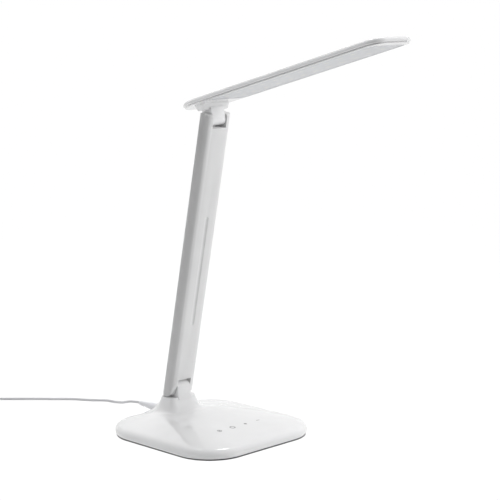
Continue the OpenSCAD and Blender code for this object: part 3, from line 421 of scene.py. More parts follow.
def through(points, steps):
    """A smooth line through points, with so many steps to each span."""
    line = []
    for i in range(len(points) - 1):
        a, b, c, d = (Vector(points[min(max(k, 0), len(points) - 1)]) for k in range(i - 1, i + 3))
        for k in range(steps):
            t = k / steps
            line.append(0.5 * (2 * b + (c - a) * t + (2 * a - 5 * b + 4 * c - d) * t * t
                               + (3 * b - a - 3 * c + d) * t * t * t))
    line.append(Vector(points[-1]))
    return line


def turned(name, profile, axis, centre=(0, 0, 0), sides=48, place=Matrix.Identity(4), closed=False):
    """A round piece: the profile gives radii and distances along an axis, 0 to 2, through a centre."""
    first, second = (k for k in range(3) if k != axis)
    rings = []
    for radius, along in profile:
        ring = []
        for k in range(sides):
            angle = 2 * math.pi * k / sides
            point = list(centre)
            point[axis] += along
            point[first] += radius * math.cos(angle)
            point[second] += radius * math.sin(angle)
            ring.append(point)
        rings.append(ring)
    return loft(name, rings, place, closed)


def rod(name, radius, reach, place):
    """A round bar along X, reaching equally far to both sides."""
    return turned(name, [(radius, -reach), (radius, reach)], 0, sides=64, place=place)


def prism(name, outline, z0, z1, place):
    """An upright block with an outline of (x, y) points."""
    return loft(name, [[(x, y, z) for x, y in outline] for z in (z0, z1)], place)


def arc_points(radius, start, stop, lift=0.0):
    """Points round a circle of (y, z), one every 5 degrees."""
    turns = [math.radians(a) for a in range(start, stop, 5)]
    return [(radius * math.cos(a), lift + radius * math.sin(a)) for a in turns]


def profile_block(name, profile, width, edge, place=Matrix.Identity(4)):
    """A block along X through a side profile of (y, z) points, with rounded side rims."""
    middle = Vector((sum(p[0] for p in profile) / len(profile), sum(p[1] for p in profile) / len(profile)))
    turns = [math.radians(a) for a in (0, 30, 60, 90)]
    steps = [(edge * (1 - math.sin(a)), edge * (1 - math.cos(a))) for a in turns]
    rings = [(i, -width / 2 + d) for i, d in steps] + [(i, width / 2 - d) for i, d in reversed(steps)]
    result = []
    for inset, x in rings:
        ring = []
        for p in profile:
            point = Vector(p)
            inward = (middle - point).normalized() * inset
            ring.append((x, point[0] + inward[0], point[1] + inward[1]))
        result.append(ring)
    return loft(name, result, place)


def polished_copy(node, name, edge, chosen=None, angle=30.0, segments=2):
    """A copy of a fixed piece with its loose triangles merged and its chosen edges rounded."""
    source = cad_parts[node]
    deselect()
    obj = bpy.data.objects.new(name, source.data.copy())
    bpy.context.scene.collection.objects.link(obj)
    only(obj)
    bpy.ops.object.mode_set(mode="EDIT")
    bpy.ops.mesh.select_all(action="SELECT")
    bpy.ops.mesh.remove_doubles(threshold=2e-6)
    bpy.ops.mesh.dissolve_limited(angle_limit=math.radians(0.6))
    mesh = bmesh.from_edit_mesh(obj.data)
    weight = mesh.edges.layers.float.new("bevel_weight_edge")
    for joint in mesh.edges:
        if len(joint.link_faces) != 2 or joint.calc_face_angle(0.0) < math.radians(angle):
            continue
        if chosen is None or chosen(joint.verts[0].co, joint.verts[1].co):
            joint[weight] = 1.0
    bmesh.update_edit_mesh(obj.data)
    bpy.ops.object.mode_set(mode="OBJECT")
    modifier = obj.modifiers.new("rounding", "BEVEL")
    modifier.limit_method = "WEIGHT"
    modifier.width = edge * MM
    modifier.segments = segments
    apply_all(obj)
    obj.data.materials.clear()
    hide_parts(node)
    return obj


def hand_over(obj, body, material, nodes=()):
    """Finish a piece: its material, the body it moves with and the nodes it replaces."""
    obj.data.materials.clear()
    obj.data.materials.append(material)
    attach(obj, body)
    if nodes:
        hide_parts(*nodes)


def coat_nodes(material, *names):
    """Give fixed pieces a finish."""
    for name in names:
        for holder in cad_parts[name].material_slots:
            holder.material = material


def hinge_frame(scene):
    """Frame of the arm: the lower hinge, Z up the arm and -Y its front."""
    base, arm = scene.desk_base, scene.desk_arm
    return Matrix.Translation((0, base.hinge_y / MM, base.hinge_z / MM)) @ Matrix.Rotation(arm.lean, 4, "X")


def head_frame(scene):
    """Frame of the head: the upper hinge, Z square to the underside and -Y to the tip."""
    arm, head = scene.desk_arm, scene.desk_head
    return (hinge_frame(scene) @ Matrix.Translation((0, 0, arm.reach / MM))
            @ Matrix.Rotation(-arm.lean - head.tilt, 4, "X"))


# ---------- the cord ----------

def smooth_step(t):
    t = max(0.0, min(1.0, t))
    return t * t * (3 - 2 * t)


def cord_route(sizes):
    """Points of the whole lead: from the plug over the table, round the coil, to the adapter."""
    thick = sizes.diameter / MM
    pitch = sizes.coil_pitch / MM
    exit_point = Vector((0, sizes.exit_y / MM, sizes.exit_z / MM))
    strap, adapter_y, relief_z = 0.85, 286, 9
    coil_z = thick / 2 + strap
    start = Vector((-96, adapter_y, coil_z))
    inward = Vector((-1, 1, 0)).normalized()
    join = start - thick * inward
    free = [exit_point + Vector((0, thick, 0)), (1, 128, 9.6), (2.5, 137, 7), (4.5, 147, 4.2),
            (6, 157, 2.4), (6.5, 166, 1.5), (5, 174, 1.4), (-1, 181.5, 1.4), (-7, 188.5, 1.4),
            (-12, 196.5, 1.4), (-17, 204.5, 1.4), (-23.5, 212, 1.4), (-31.5, 220, 1.4),
            (-42, 231.5, 1.4), (-55, 245, 1.4), (-70, 260, 1.4), (-82, 272, 1.7), join - thick * inward]
    first_angle, steps_per_turn = 45, 40
    turns = sizes.layers * sizes.layer_turns - first_angle / 360
    per_layer = turns / sizes.layers
    outer = sizes.coil_radius / MM + pitch * per_layer / 2
    first = math.radians(first_angle)
    centre = start - outer * Vector((math.cos(first), math.sin(first), 0))
    coil = []
    steps = round(turns * steps_per_turn)
    for i in range(steps + 1):
        turn = turns * i / steps
        phase = turn / per_layer
        share = phase - math.floor(phase)
        if math.floor(phase) % 2:
            share = 1 - share
        climb = sum(smooth_step((turn - k * per_layer) / 0.5 + 0.5) for k in range(1, sizes.layers))
        radius = outer - share * pitch * per_layer
        angle = math.radians(first_angle + 360 * turn)
        coil.append(Vector((centre[0] + radius * math.cos(angle), centre[1] + radius * math.sin(angle),
                            coil_z + pitch * climb)))
    tail_start = coil[-1] + Vector((0, thick, 0))
    tail_end = Vector((tail_start[0], adapter_y, relief_z))
    tail = [tail_start + Vector((0, thick, 0)), (tail_start + tail_end) / 2, tail_end - Vector((0, thick, 0))]
    return [exit_point] + through(free, 5) + [join] + coil + [tail_start] + through(tail, 6) + [tail_end]


class LAMP_OT_cord(bpy.types.Operator):
    """Lay the lead from the plug over the table into its put-away coil and on to the adapter"""
    bl_idname = "desk_lamp.cord"
    bl_label = "Cord"

    def execute(self, context):
        sizes = context.scene.desk_cord
        points = [point * MM for point in cord_route(sizes)]
        deselect()
        curve = bpy.data.curves.new("lead", "CURVE")
        curve.dimensions = "3D"
        line = curve.splines.new("POLY")
        line.points.add(len(points) - 1)
        for knot, point in zip(line.points, points):
            knot.co = (*point, 1.0)
        curve.bevel_depth = sizes.diameter / 2
        curve.bevel_resolution = 4
        curve.use_fill_caps = True
        lead = bpy.data.objects.new("lead", curve)
        context.scene.collection.objects.link(lead)
        paint = Paint("cord_jacket")
        tone = finish_tone("cord_grey")
        marbling = paint.noise(140.0, 3.0)
        skin = paint.noise(2600.0, 2.0)
        base = paint.mix(paint.limit(marbling, 0.3, 0.7), shade(tone, 0.95), shade(tone, 1.04))
        lead.data.materials.append(paint.finish(
            Base_Color=base, Roughness=0.38 + 0.18 * marbling, Normal=paint.bump(skin, 0.12, 0.0002)))
        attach(lead, "base")
        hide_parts("cord_free", "cord_coil", "cord_tail")
        return {"FINISHED"}


# ---------- the base ----------

# the rolled edge: distance inside the outline and height
EDGE = [(1.2, 1.3), (0.35, 3.2), (0, 5.2), (0.55, 7.2), (1.9, 8.9), (3.7, 10.1), (6, 10.9)]
# rings of the dome, as shares of the way to the neck, and round the neck, as distances from it
OUTER_SHARES = (0.06, 0.12, 0.2, 0.3, 0.4, 0.5, 0.6, 0.72, 0.86)
OUTER_GAPS = (26, 23, 20, 17.5, 15.5, 13.5, 12, 10.5, 9.2, 8, 6.8, 5.7, 4.7, 3.8, 3, 2.3, 1.7, 1.2, 0.8, 0.5,
              0.25)
INNER_SHARES = (0.3, 0.72)
INNER_GAPS = (26, 14.5, 9, 5.2, 2.4, 0.3)
# how the hinge block runs out into the flare: distance beyond the barrel and height
FOOT = [(0.0, 35.6), (0.06, 34.6), (0.24, 33.6), (0.62, 32.6), (1.3, 31.4), (2.2, 30.2)]
# round profiles: radius, and distance behind the middle of the base or height
COLLAR = [(6.1, 69.2), (6.1, 81.0), (5.6, 81.5)]
MOUTH = [(4.3, 66), (4.3, 81.5), (5.1, 81.5), (5.1, 89.5)]
BOSS = [(3.6, 3.3), (3.6, 11.9)]


def ease(t):
    return 1 - (1 - t) * (1 - t)


def dome_height(sizes, inset):
    """Height of the dome at a distance inside the outline, in millimetres."""
    roll, low, top = sizes.roll / MM, sizes.roll_height / MM, sizes.dome / MM
    return low + (top - low) * ease(min(1.0, (inset - roll) / (sizes.width / MM / 2 - roll)))


def base_rings(sizes, arm, wall, edge, shares, gaps, arc=16, side=14):
    """Rings from the foot over the rolled edge and the dome up the neck to its shoulder."""
    width, corner, roll = sizes.width / MM, sizes.corner / MM, sizes.roll / MM
    low, pad, shoulder = sizes.roll_height / MM, sizes.pad / MM, sizes.shoulder / MM
    flare, ramp = sizes.flare / MM, sizes.ramp / MM
    neck_corner, least_way, crest, inward = 5, 2, 0.4, 0.9
    rear_from, rear_span = 0.6, 0.33
    outer = [Vector(p) for p in rounded_outline(width, width, corner, arc, side)]
    neck_width, neck_depth = arm.width / MM - 2 * wall, 2 * sizes.barrel / MM - 2 * wall
    neck = [Vector((x, y + sizes.hinge_y / MM))
            for x, y in rounded_outline(neck_width, neck_depth, neck_corner - wall * inward, arc, side)]
    rays = [b - a for a, b in zip(outer, neck)]

    # each point of the outline, the way to the neck, its length, and 0 to 1 where the neck faces backward
    spokes = []
    for point, ray in zip(outer, rays):
        way, far = ray.normalized(), ray.length
        spokes.append((point, way, far, smooth_step((-way[1] - rear_from) / rear_span)))

    def flare_height(gap, ground, back):
        return (shoulder - ground) * ((1 - back) * max(0.0, 1 - gap / flare) ** 3
                                      + back * max(0.0, 1 - gap / ramp) ** 2)

    def on_dome(inset_at):
        """A ring on the dome, at an inset that depends on the distance from outline to neck."""
        ring = []
        for point, way, far, back in spokes:
            inset = inset_at(far)
            z = dome_height(sizes, inset)
            p = point + way * inset
            ring.append((p[0], p[1], z + flare_height(far - inset + wall * crest, z, back) - wall))
        return ring

    rings = []
    for inset, z in edge:
        raised = (z - pad) / low
        ring = []
        for point, way, far, back in spokes:
            p = point + way * (inset + wall)
            ring.append((p[0], p[1], z + (flare_height(far - inset - wall, low, back) - wall) * raised))
        rings.append(ring)
    start = roll + wall
    for share in shares:
        rings.append(on_dome(lambda far: start + (max(start + least_way, far - gaps[0]) - start) * share))
    for gap in gaps:
        rings.append(on_dome(lambda far: far - min(gap, (far - start - least_way) * gap / gaps[0])))
    centre = Vector((0, sizes.hinge_y / MM))
    for inset, drop in ((0.12, 0.06), (0.4, 0.0)):
        ring = [p + (centre - p).normalized() * inset for p in neck]
        rings.append([(p[0], p[1], shoulder - wall - drop) for p in ring])
    return rings


class LAMP_OT_base(bpy.types.Operator):
    """Model the domed shell with its rolled edge, flared neck, hinge barrel and socket collar"""
    bl_idname = "desk_lamp.base"
    bl_label = "Base shell"

    def execute(self, context):
        scene = context.scene
        sizes, arm = scene.desk_base, scene.desk_arm
        wall = sizes.wall / MM
        outside = [(max(0.0, p[0]), p[1]) for p in through(EDGE, 4)]
        inside = base_rings(sizes, arm, wall, EDGE[::2], INNER_SHARES, INNER_GAPS)
        skin = base_rings(sizes, arm, 0.0, outside, OUTER_SHARES, OUTER_GAPS)
        shell = loft("lamp_base_shell", list(reversed(inside)) + skin)
        hinge_y, hinge_z, radius = sizes.hinge_y / MM, sizes.hinge_z / MM, sizes.barrel / MM
        block, hinge = Matrix.Translation((0, hinge_y, 0)), Matrix.Translation((0, hinge_y, hinge_z))
        boss_inset, eye_wall, stem_foot, rim = 25, 1.9, 29, 0.7
        # the barrel stands on a block whose front and back run out into the flare
        bar = arc_points(radius, 0, 181, hinge_z)
        bar += [(-radius - d, z) for d, z in FOOT] + [(radius + d, z) for d, z in reversed(FOOT)]
        combine(shell, profile_block("barrel", bar, sizes.barrel_width / MM, rim, block), "UNION")
        combine(shell, turned("collar", COLLAR, 1, (0, 0, SOCKET_Z)), "UNION")
        boss_off = sizes.width / MM / 2 - boss_inset
        for x in (-boss_off, boss_off):
            for y in (-boss_off, boss_off):
                combine(shell, turned("boss", BOSS, 2, (x, y, 0), 32), "UNION")
        # room for the steel eye and its stem, the pin, the wire and the plug
        inner = radius - eye_wall
        stem = rounded_outline(EYE_SLOT, 2 * inner, EYE_CORNER, 6, 2)
        combine(shell, rod("eye", inner, EYE_SLOT / 2, hinge), "DIFFERENCE")
        combine(shell, prism("stem", stem, stem_foot, hinge_z, block), "DIFFERENCE")
        combine(shell, rod("pin", PIN_BORE, PIN_REACH, hinge), "DIFFERENCE")
        combine(shell, turned("mouth", MOUTH, 1, (0, 0, SOCKET_Z)), "DIFFERENCE")
        fix_normals(shell)
        smooth(shell, SHADE_ANGLE)
        gloss = moulded("gloss_white_shell", finish_tone("gloss_white"), 0.16, coat=1.0, coat_ior=1.85,
                        grain=260.0, relief=0.0)
        hand_over(shell, "base", gloss, ["base_shell"])
        return {"FINISHED"}


class LAMP_OT_marks(bpy.types.Operator):
    """Print the four touch marks on the dome: a filled dot, a ring, a small dot and a dash"""
    bl_idname = "desk_lamp.marks"
    bl_label = "Touch marks"

    def execute(self, context):
        sizes = context.scene.desk_base
        pitch, row = sizes.mark_pitch / MM, -sizes.mark_y / MM
        shell = bpy.data.objects["lamp_base_shell"]
        paint = Paint("mark_print")
        speckle = paint.noise(5200.0, 2.0)
        tone = finish_tone("mark_grey")
        ink = paint.finish(Base_Color=paint.mix(speckle, shade(tone, 0.85), shade(tone, 1.1)),
                           Roughness=0.4 + 0.2 * speckle, Normal=paint.bump(speckle, 0.1, 0.0001))
        # each mark: its name, its place in the row, its hoops by radii, its dots by place and radius
        marks = [("mark_power", -1.5, [(1.7, 2.5)], [(0, 1.0)]), ("mark_ring", -0.5, [(2.1, 3.1)], []),
                 ("mark_mode", 0.5, [], [(0, 1.7)]),
                 ("mark_dim", 1.5, [], [(-1.5, 0.7), (0, 0.7), (1.5, 0.7)])]
        level, rim, sunk = 20, 0.04, 0.02
        top = level + 0.05
        for name, step, hoops, dots in marks:
            middle = step * pitch
            parts = [turned("part", [(inner, level), (outer, level), (outer, top), (inner, top)], 2,
                            (middle, row, 0), 40, closed=True) for inner, outer in hoops]
            parts += [turned("part", [(radius, level), (radius, level + rim), (radius * 0.9, top)], 2,
                             (middle + dx, row, 0), 24) for dx, radius in dots]
            deselect()
            for part in parts:
                part.select_set(True)
            bpy.context.view_layer.objects.active = parts[0]
            if len(parts) > 1:
                bpy.ops.object.join()
            mark = parts[0]
            mark.name = name
            # lay it on the dome: each point drops by the same fall as the dome under it
            for vert in mark.data.vertices:
                x, y = vert.co[0] / MM, vert.co[1] / MM
                hit, where, _, _ = shell.ray_cast(Vector((x, y, 60)) * MM, Vector((0, 0, -1)))
                if not hit:
                    raise RuntimeError(name + " isn't over the dome")
                vert.co[2] += where[2] - (level + sunk) * MM
            smooth(mark)
            hand_over(mark, "base", ink)
        return {"FINISHED"}


# ---------- the arm ----------

class LAMP_OT_arm(bpy.types.Operator):
    """Round the edges of the arm's two shells where the notches, the ears and the groove cut them"""
    bl_idname = "desk_lamp.arm"
    bl_label = "Arm shells"

    def ease_corners(self, shell, arm, into):
        """Draw the outer skin's points at the section's four corners in to a larger radius."""
        back = into.inverted()
        skin = 0.4 * MM
        for vert in shell.data.vertices:
            x, y, z = into @ vert.co
            across, deep = abs(x) - (arm.width / 2 - arm.corner), abs(y) - (arm.depth / 2 - arm.corner)
            if across > 0 and deep > 0:
                outside = math.hypot(across, deep) > arm.corner - skin
            else:
                outside = across > arm.corner - skin or deep > arm.corner - arm.crown - skin
            across = abs(x) - (arm.width / 2 - arm.soft_corner)
            deep = abs(y) - (arm.depth / 2 - arm.soft_corner)
            far = math.hypot(across, deep)
            if outside and across > 0 and deep > 0 and far > arm.soft_corner:
                share = 1 - arm.soft_corner / far
                moved = Vector((x - math.copysign(across * share, x), y - math.copysign(deep * share, y), z))
                vert.co = back @ moved

    def execute(self, context):
        scene = context.scene
        arm = scene.desk_arm
        into = place_in_metres(hinge_frame(scene)).inverted()
        half_w, half_t, split = arm.width / 2, arm.depth / 2, 3.8 * MM
        face_band, side_band, past_top, past_foot = (size * MM for size in (1.35, 1.5, 4, 5))

        def outer_edge(a, b):
            a, b = into @ a, into @ b
            middle = (a + b) / 2
            if abs(a[1] - split) < 2e-5 and abs(b[1] - split) < 2e-5:
                return False
            front_or_back = abs(middle[1]) > half_t - face_band
            side = abs(middle[0]) > half_w - side_band
            return front_or_back or side or middle[2] > arm.reach + past_top or middle[2] < -past_foot

        satin = moulded("satin_white_arm", finish_tone("satin_white"), 0.36, coat=0.12, grain=1600.0,
                        relief=0.008)
        for node, name in (("arm_front_shell", "arm_front"), ("arm_back_shell", "arm_back")):
            shell = polished_copy(node, name, arm.edge / MM, outer_edge, angle=SHADE_ANGLE)
            self.ease_corners(shell, arm, into)
            smooth(shell, 30)
            hand_over(shell, "arm", satin)
        return {"FINISHED"}


# ---------- the head ----------

SPLIT = 2.4  # height above the underside where the cover meets the frame
# the head's rims: distance inside the outline and height above the underside
ROLL = [(0, SPLIT), (0.15, 3.6), (0.8, 4.9)]
COVER_INSIDE = [(1.7, SPLIT), (1.7, 3.2), (2.9, 4.4)]
# the flat plate and the rounded skirt, with a shadow groove between them
SKIRT = [(1.9, 0.0), (1.6, 0.02), (1.45, 0.12), (1.5, 0.3), (2.7, 0.4), (2.7, 1.35), (0.9, 1.4), (0.5, 1.46),
         (0.25, 1.62), (0.08, 1.9), (0.0, 2.15), (0.0, SPLIT), (1.7, SPLIT), (1.7, 2.2)]
# the diffuser's rim: distance outside the light window and height
PLATE_RIM = [(-0.5, 0.3), (-0.2, 0.36), (-0.1, 0.5), (-0.1, 1.26), (1.3, 1.3), (1.35, 1.4), (1.35, 2.9),
             (1.3, 3.0)]


def head_outline(head, inset, tail_points=40, tip_points=14, side_points=10):
    """Points of the head outline at an inset: half oval tail, left side, tip corners, right side."""
    half, tip, tail = head.width / MM / 2, head.tip / MM, head.tail / MM
    oval, corner = head.tail_oval / MM, max(1.0, head.tip_corner / MM - inset)
    points = [((half - inset) * math.cos(math.pi * k / tail_points),
               tail - oval + (oval - inset) * math.sin(math.pi * k / tail_points))
              for k in range(tail_points + 1)]
    turns = [math.pi * (1 + k / tip_points / 2) for k in range(tip_points + 1)]
    left = [(-half + inset + corner + corner * math.cos(a), -tip + inset + corner + corner * math.sin(a))
            for a in turns]
    right = [(-x, y) for x, y in reversed(left)]
    between = [(points[-1][0], points[-1][1] + (left[0][1] - points[-1][1]) * k / (side_points + 1))
               for k in range(1, side_points + 1)]
    back = [(right[-1][0], right[-1][1] + (points[0][1] - right[-1][1]) * k / (side_points + 1))
            for k in range(1, side_points + 1)]
    return points + between + left + right + back


def window_outline(head, grow):
    """The light window's outline as seen from above."""
    margin, tip_margin, rear, corner = 3.6, 10, -20.0, 8
    front = tip_margin - head.tip / MM
    width, depth = head.width / MM - 2 * margin, rear - front
    outline = rounded_outline(width + 2 * grow, depth + 2 * grow, corner + grow, 12, 8)
    return [(x, y + (front + rear) / 2) for x, y in outline]


class LAMP_OT_head(bpy.types.Operator):
    """Model the head's crowned cover, and the frame with its light window, housing and hinge barrel"""
    bl_idname = "desk_lamp.head"
    bl_label = "Head"

    def execute(self, context):
        scene = context.scene
        head, arm = scene.desk_head, scene.desk_arm
        place = head_frame(scene)
        bottom, side_top, crown = head.underside / MM, head.side / MM, head.crown / MM
        rim, inner_rim, thick, flat_middle = 1.9, 2.7, 1.4, 2
        inner_crown = 0.95 * crown

        def ring(inset, z):
            return [(x, y, bottom + z) for x, y in head_outline(head, inset)]

        def rise(start, shares, top, bulge):
            """Rings from an inset to near the middle, rising over the crown."""
            span = head.width / MM / 2 - flat_middle - start
            return [ring(start + span * share, top + bulge * ease(share)) for share in shares]

        outer = [ring(max(0.0, p[0]), p[1]) for p in through(ROLL + [(rim, side_top)], 4)]
        outer += rise(rim, (0.03, 0.07, 0.12, 0.2, 0.3, 0.42, 0.55, 0.68, 0.8), side_top, crown)
        inner = [ring(*p) for p in COVER_INSIDE]
        inner += rise(inner_rim, (0.12, 0.3, 0.55, 0.8), side_top - thick, inner_crown)
        cover = loft("lamp_head_cover", list(reversed(inner)) + outer, place)
        fix_normals(cover)
        smooth(cover, SHADE_ANGLE)

        frame_piece = loft("lamp_head_frame", [ring(*p) for p in SKIRT], place)
        # housing over the arm's top end, with its two lower edges rounded
        housing_h, slant, sunk, cut_back, rounding = 9.0, 0.3, 0.5, 0.9, 0.8
        profile = [Vector(p) for p in ((-4.4, housing_h - slant), (4.0, housing_h + slant),
                                       (7.2, bottom + sunk), (-8.2, bottom + sunk))]
        rounded = []
        for k in (0, 1):
            tip = profile[k]
            start = tip + (profile[k - 1] - tip).normalized() * cut_back
            stop = tip + (profile[k + 1] - tip).normalized() * cut_back
            rounded += [start * (1 - t) ** 2 + tip * 2 * t * (1 - t) + stop * t * t
                        for t in (0, 0.25, 0.5, 0.75, 1)]
        housing = profile_block("housing", rounded + profile[2:], arm.width / MM, rounding, place)
        combine(frame_piece, housing, "UNION")
        # the barrel that hangs into the arm
        radius, root, rim = head.barrel / MM, housing_h + 2, 0.6
        tongue = arc_points(radius, 180, 361) + [(radius, root), (-radius, root)]
        combine(frame_piece, profile_block("tongue", tongue, head.barrel_width / MM, rim, place), "UNION")
        # the light window, and behind it the room for the diffuser's flange
        past_top, eye_wall, stem_top = 8, 1.4, 4
        for grow, start in ((0.0, -1), (1.5, 1.2)):
            window = prism("window", window_outline(head, grow), bottom + start, bottom + past_top, place)
            combine(frame_piece, window, "DIFFERENCE")
        # room for the steel eye and its stem, and the pin
        room = radius - eye_wall
        stem = rounded_outline(EYE_SLOT, 2 * room, EYE_CORNER, 6, 2)
        combine(frame_piece, rod("pin", PIN_BORE, PIN_REACH, place), "DIFFERENCE")
        combine(frame_piece, rod("eye", room, EYE_SLOT / 2, place), "DIFFERENCE")
        combine(frame_piece, prism("stem", stem, 0, bottom + stem_top, place), "DIFFERENCE")
        fix_normals(frame_piece)
        smooth(frame_piece, SHADE_ANGLE)
        gloss = moulded("gloss_white_head", finish_tone("gloss_white"), 0.18, coat=1.0, coat_ior=1.7,
                        grain=260.0, relief=0.003)
        hand_over(cover, "head", gloss, ["head_cover"])
        hand_over(frame_piece, "head", gloss, ["head_frame"])
        return {"FINISHED"}


class LAMP_OT_light(bpy.types.Operator):
    """Finish the opal diffuser, with the light points showing faintly through, and the light board"""
    bl_idname = "desk_lamp.light"
    bl_label = "Diffuser and light board"

    def execute(self, context):
        scene = context.scene
        head = scene.desk_head
        tone = finish_tone("opal")
        bottom = head.underside / MM
        place = place_in_metres(head_frame(scene)).inverted()
        paint = Paint("opal_diffuser")
        level = paint.mapped(Location=tuple(place.translation), Rotation=tuple(place.to_euler()))
        x, y, _ = paint.parts(level)
        # distance to the nearest light point: two rows of twelve, 17 mm apart
        first_point, half_pitch, row = 0.0345, 0.0085, 0.011
        along = paint.maths("PINGPONG", y + first_point, half_pitch)
        across = paint.maths("ABSOLUTE", paint.maths("ABSOLUTE", x) - row)
        distance = (along * along + across * across) ** 0.5
        core, glow = 0.0012, 0.0042
        points = 1 - paint.limit(distance, core, glow)
        milk = paint.noise(60.0, 3.0)
        base = paint.mix(paint.limit(milk, 0.3, 0.7), shade(tone, 0.97), shade(tone, 1.02))
        base = paint.mix(points * 0.35, base, (0.95, 0.93, 0.80))
        opal = paint.finish(Base_Color=base, Roughness=0.32 + 0.1 * milk,
                            Normal=paint.bump(paint.noise(300.0), 0.01, 0.0001))
        plate = loft("diffuser_plate", [[(x, y, bottom + z) for x, y in window_outline(head, grow)]
                                        for grow, z in PLATE_RIM], head_frame(scene))
        smooth(plate, 30)
        hand_over(plate, "head", opal, ["diffuser"])
        coat_nodes(moulded("light_board_white", (0.85, 0.85, 0.83), 0.5), "led_board")
        coat_nodes(moulded("light_point_yellow", (0.92, 0.82, 0.35), 0.35), "leds")
        return {"FINISHED"}


# ---------- plug, adapter and hidden pieces ----------

class LAMP_OT_plug(bpy.types.Operator):
    """Turn the moulded plug body with its ribs, and finish it, the adapter's strain relief and the socket"""
    bl_idname = "desk_lamp.plug"
    bl_label = "Plug"

    def execute(self, context):
        taper_start, taper_end = (3.1, 20.0), (2.0, 30.0)

        def radius_at(y):
            t = (y - taper_start[1]) / (taper_end[1] - taper_start[1])
            return taper_start[0] * (1 - t) + taper_end[0] * t

        profile = [(2.8, 2.0), (2.8, 0.0), (4.1, 0.0), (4.4, 0.12), (4.5, 0.45), (4.42, 3.0), (4.2, 7.6),
                   (4.05, 9.0)]
        profile += [(4.2 - 1.1 * t, 8 + 12 * t) for t in (0.2, 0.4, 0.6, 0.8, 1.0)]
        sunk, edge = 0.15, 0.12
        for rib, height in ((21.4, 3.1), (24.2, 2.88), (27.0, 2.65)):
            profile += [(radius_at(rib) - sunk, rib - 0.25), (height - edge, rib), (height, rib + 0.25),
                        (height, rib + 1.05), (height - edge, rib + 1.3),
                        (radius_at(rib + 1.3) - sunk, rib + 1.5)]
        profile += [(2.1, 29.4), (2.0, 29.85), (1.75, 30.0)]
        plug = turned("plug_body", profile, 1, (0, PLUG_Y, SOCKET_Z), 40)
        fix_normals(plug)
        smooth(plug, 40)
        rubber = moulded("plug_rubber", shade(finish_tone("cord_grey"), 1.33), 0.42, grain=1800.0,
                         relief=0.08, clouds=90.0)
        hand_over(plug, "base", rubber, ["dc_plug_body"])
        coat_nodes(rubber, "adapter_relief")
        coat_nodes(moulded("jack_black", (0.02, 0.02, 0.022), 0.5, relief=0.1), "dc_jack")
        return {"FINISHED"}


class LAMP_OT_adapter(bpy.types.Operator):
    """Round the edges of the adapter's two halves and of the strap round the coil"""
    bl_idname = "desk_lamp.adapter"
    bl_label = "Adapter and strap"

    def execute(self, context):
        touching, margin = 1e-5, 5.2 * MM
        shell = moulded("adapter_white_shell", (0.80, 0.80, 0.81), 0.4, grain=1100.0, relief=0.09,
                        clouds=50.0)
        for node, height in (("adapter_top", 28.0), ("adapter_bottom", 0.0)):
            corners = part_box(node)

            def rim(a, b):
                flat = all(abs(end[2] - height * MM) < touching for end in (a, b))
                return flat and min(abs(a[k] - corner[k]) for k in (0, 1) for corner in corners) < margin

            piece = polished_copy(node, node + "_case", 2.0, rim, angle=40, segments=4)
            smooth(piece, 32)
            hand_over(piece, "base", shell)
        strap = polished_copy("coil_tie", "coil_strap", 0.25, None, angle=40)
        smooth(strap, 32)
        hand_over(strap, "base", moulded("strap_black", finish_tone("rubber"), 0.55, relief=0.2))
        return {"FINISHED"}


class LAMP_OT_hidden(bpy.types.Operator):
    """Finish the pad, the plates, the hinge hardware, the boards and the wires"""
    bl_idname = "desk_lamp.hidden"
    bl_label = "Hardware and inner pieces"

    def execute(self, context):
        coat_nodes(moulded("pad_rubber", finish_tone("rubber"), 0.75, grain=1400.0, relief=0.35), "foot_pad")
        coat_nodes(moulded("plate_plastic", (0.72, 0.73, 0.74), 0.5, relief=0.08), "base_plate")
        coat_nodes(metal("cast_weight", (0.16, 0.16, 0.165), 0.6, (1, 1, 1), 500.0), "ballast_plate")
        coat_nodes(metal("zinc_steel", (0.62, 0.63, 0.65), 0.28),
                   "base_screws", "neck_bracket", "neck_bracket_screws", "lower_arm_bracket",
                   "upper_arm_bracket", "arm_bracket_screws", "lower_hinge_pin", "lower_hinge_nut",
                   "upper_hinge_pin", "upper_hinge_nut", "head_bracket", "head_bracket_screws",
                   "led_board_screws", "dc_plug_tip", "adapter_pins")
        coat_nodes(moulded("washer_nylon", (0.78, 0.74, 0.60), 0.45, relief=0.05),
                   "lower_friction_washers", "upper_friction_washers")
        coat_nodes(circuit_board("board_green", (0.03, 0.22, 0.10), (0.07, 0.34, 0.16)),
                   "driver_board", "touch_board", "adapter_board")
        coat_nodes(moulded("parts_dark", (0.05, 0.05, 0.055), 0.4, relief=0.1), "driver_parts")
        coat_nodes(moulded("pad_foam", (0.12, 0.12, 0.13), 0.85, grain=2600.0, relief=0.6), "touch_pads")
        coat_nodes(moulded("wire_red", (0.55, 0.03, 0.02), 0.4, relief=0.04), "jack_wires")
        coat_nodes(moulded("wire_grey", (0.5, 0.5, 0.52), 0.4, relief=0.04),
                   "base_wire", "arm_wire", "head_wire")
        coat_nodes(moulded("tape_yellow", (0.72, 0.52, 0.05), 0.35, relief=0.05), "adapter_transformer")
        return {"FINISHED"}


# ---------- camera, floor and light ----------

class LAMP_OT_camera(bpy.types.Operator):
    """Set the camera at the height and angle from which the lamp is shown"""
    bl_idname = "desk_lamp.camera"
    bl_label = "Camera"

    def execute(self, context):
        data = bpy.data.cameras.new("view")
        data.lens = 115.2
        data.sensor_width = 36
        data.clip_end = 50
        camera = bpy.data.objects.new("view", data)
        camera.location = (-1.126216, -1.161463, 0.467841)
        camera.rotation_euler = (math.radians(90 - 9.615), 0, math.radians(-45.551))
        context.scene.collection.objects.link(camera)
        context.scene.camera = camera
        return {"FINISHED"}


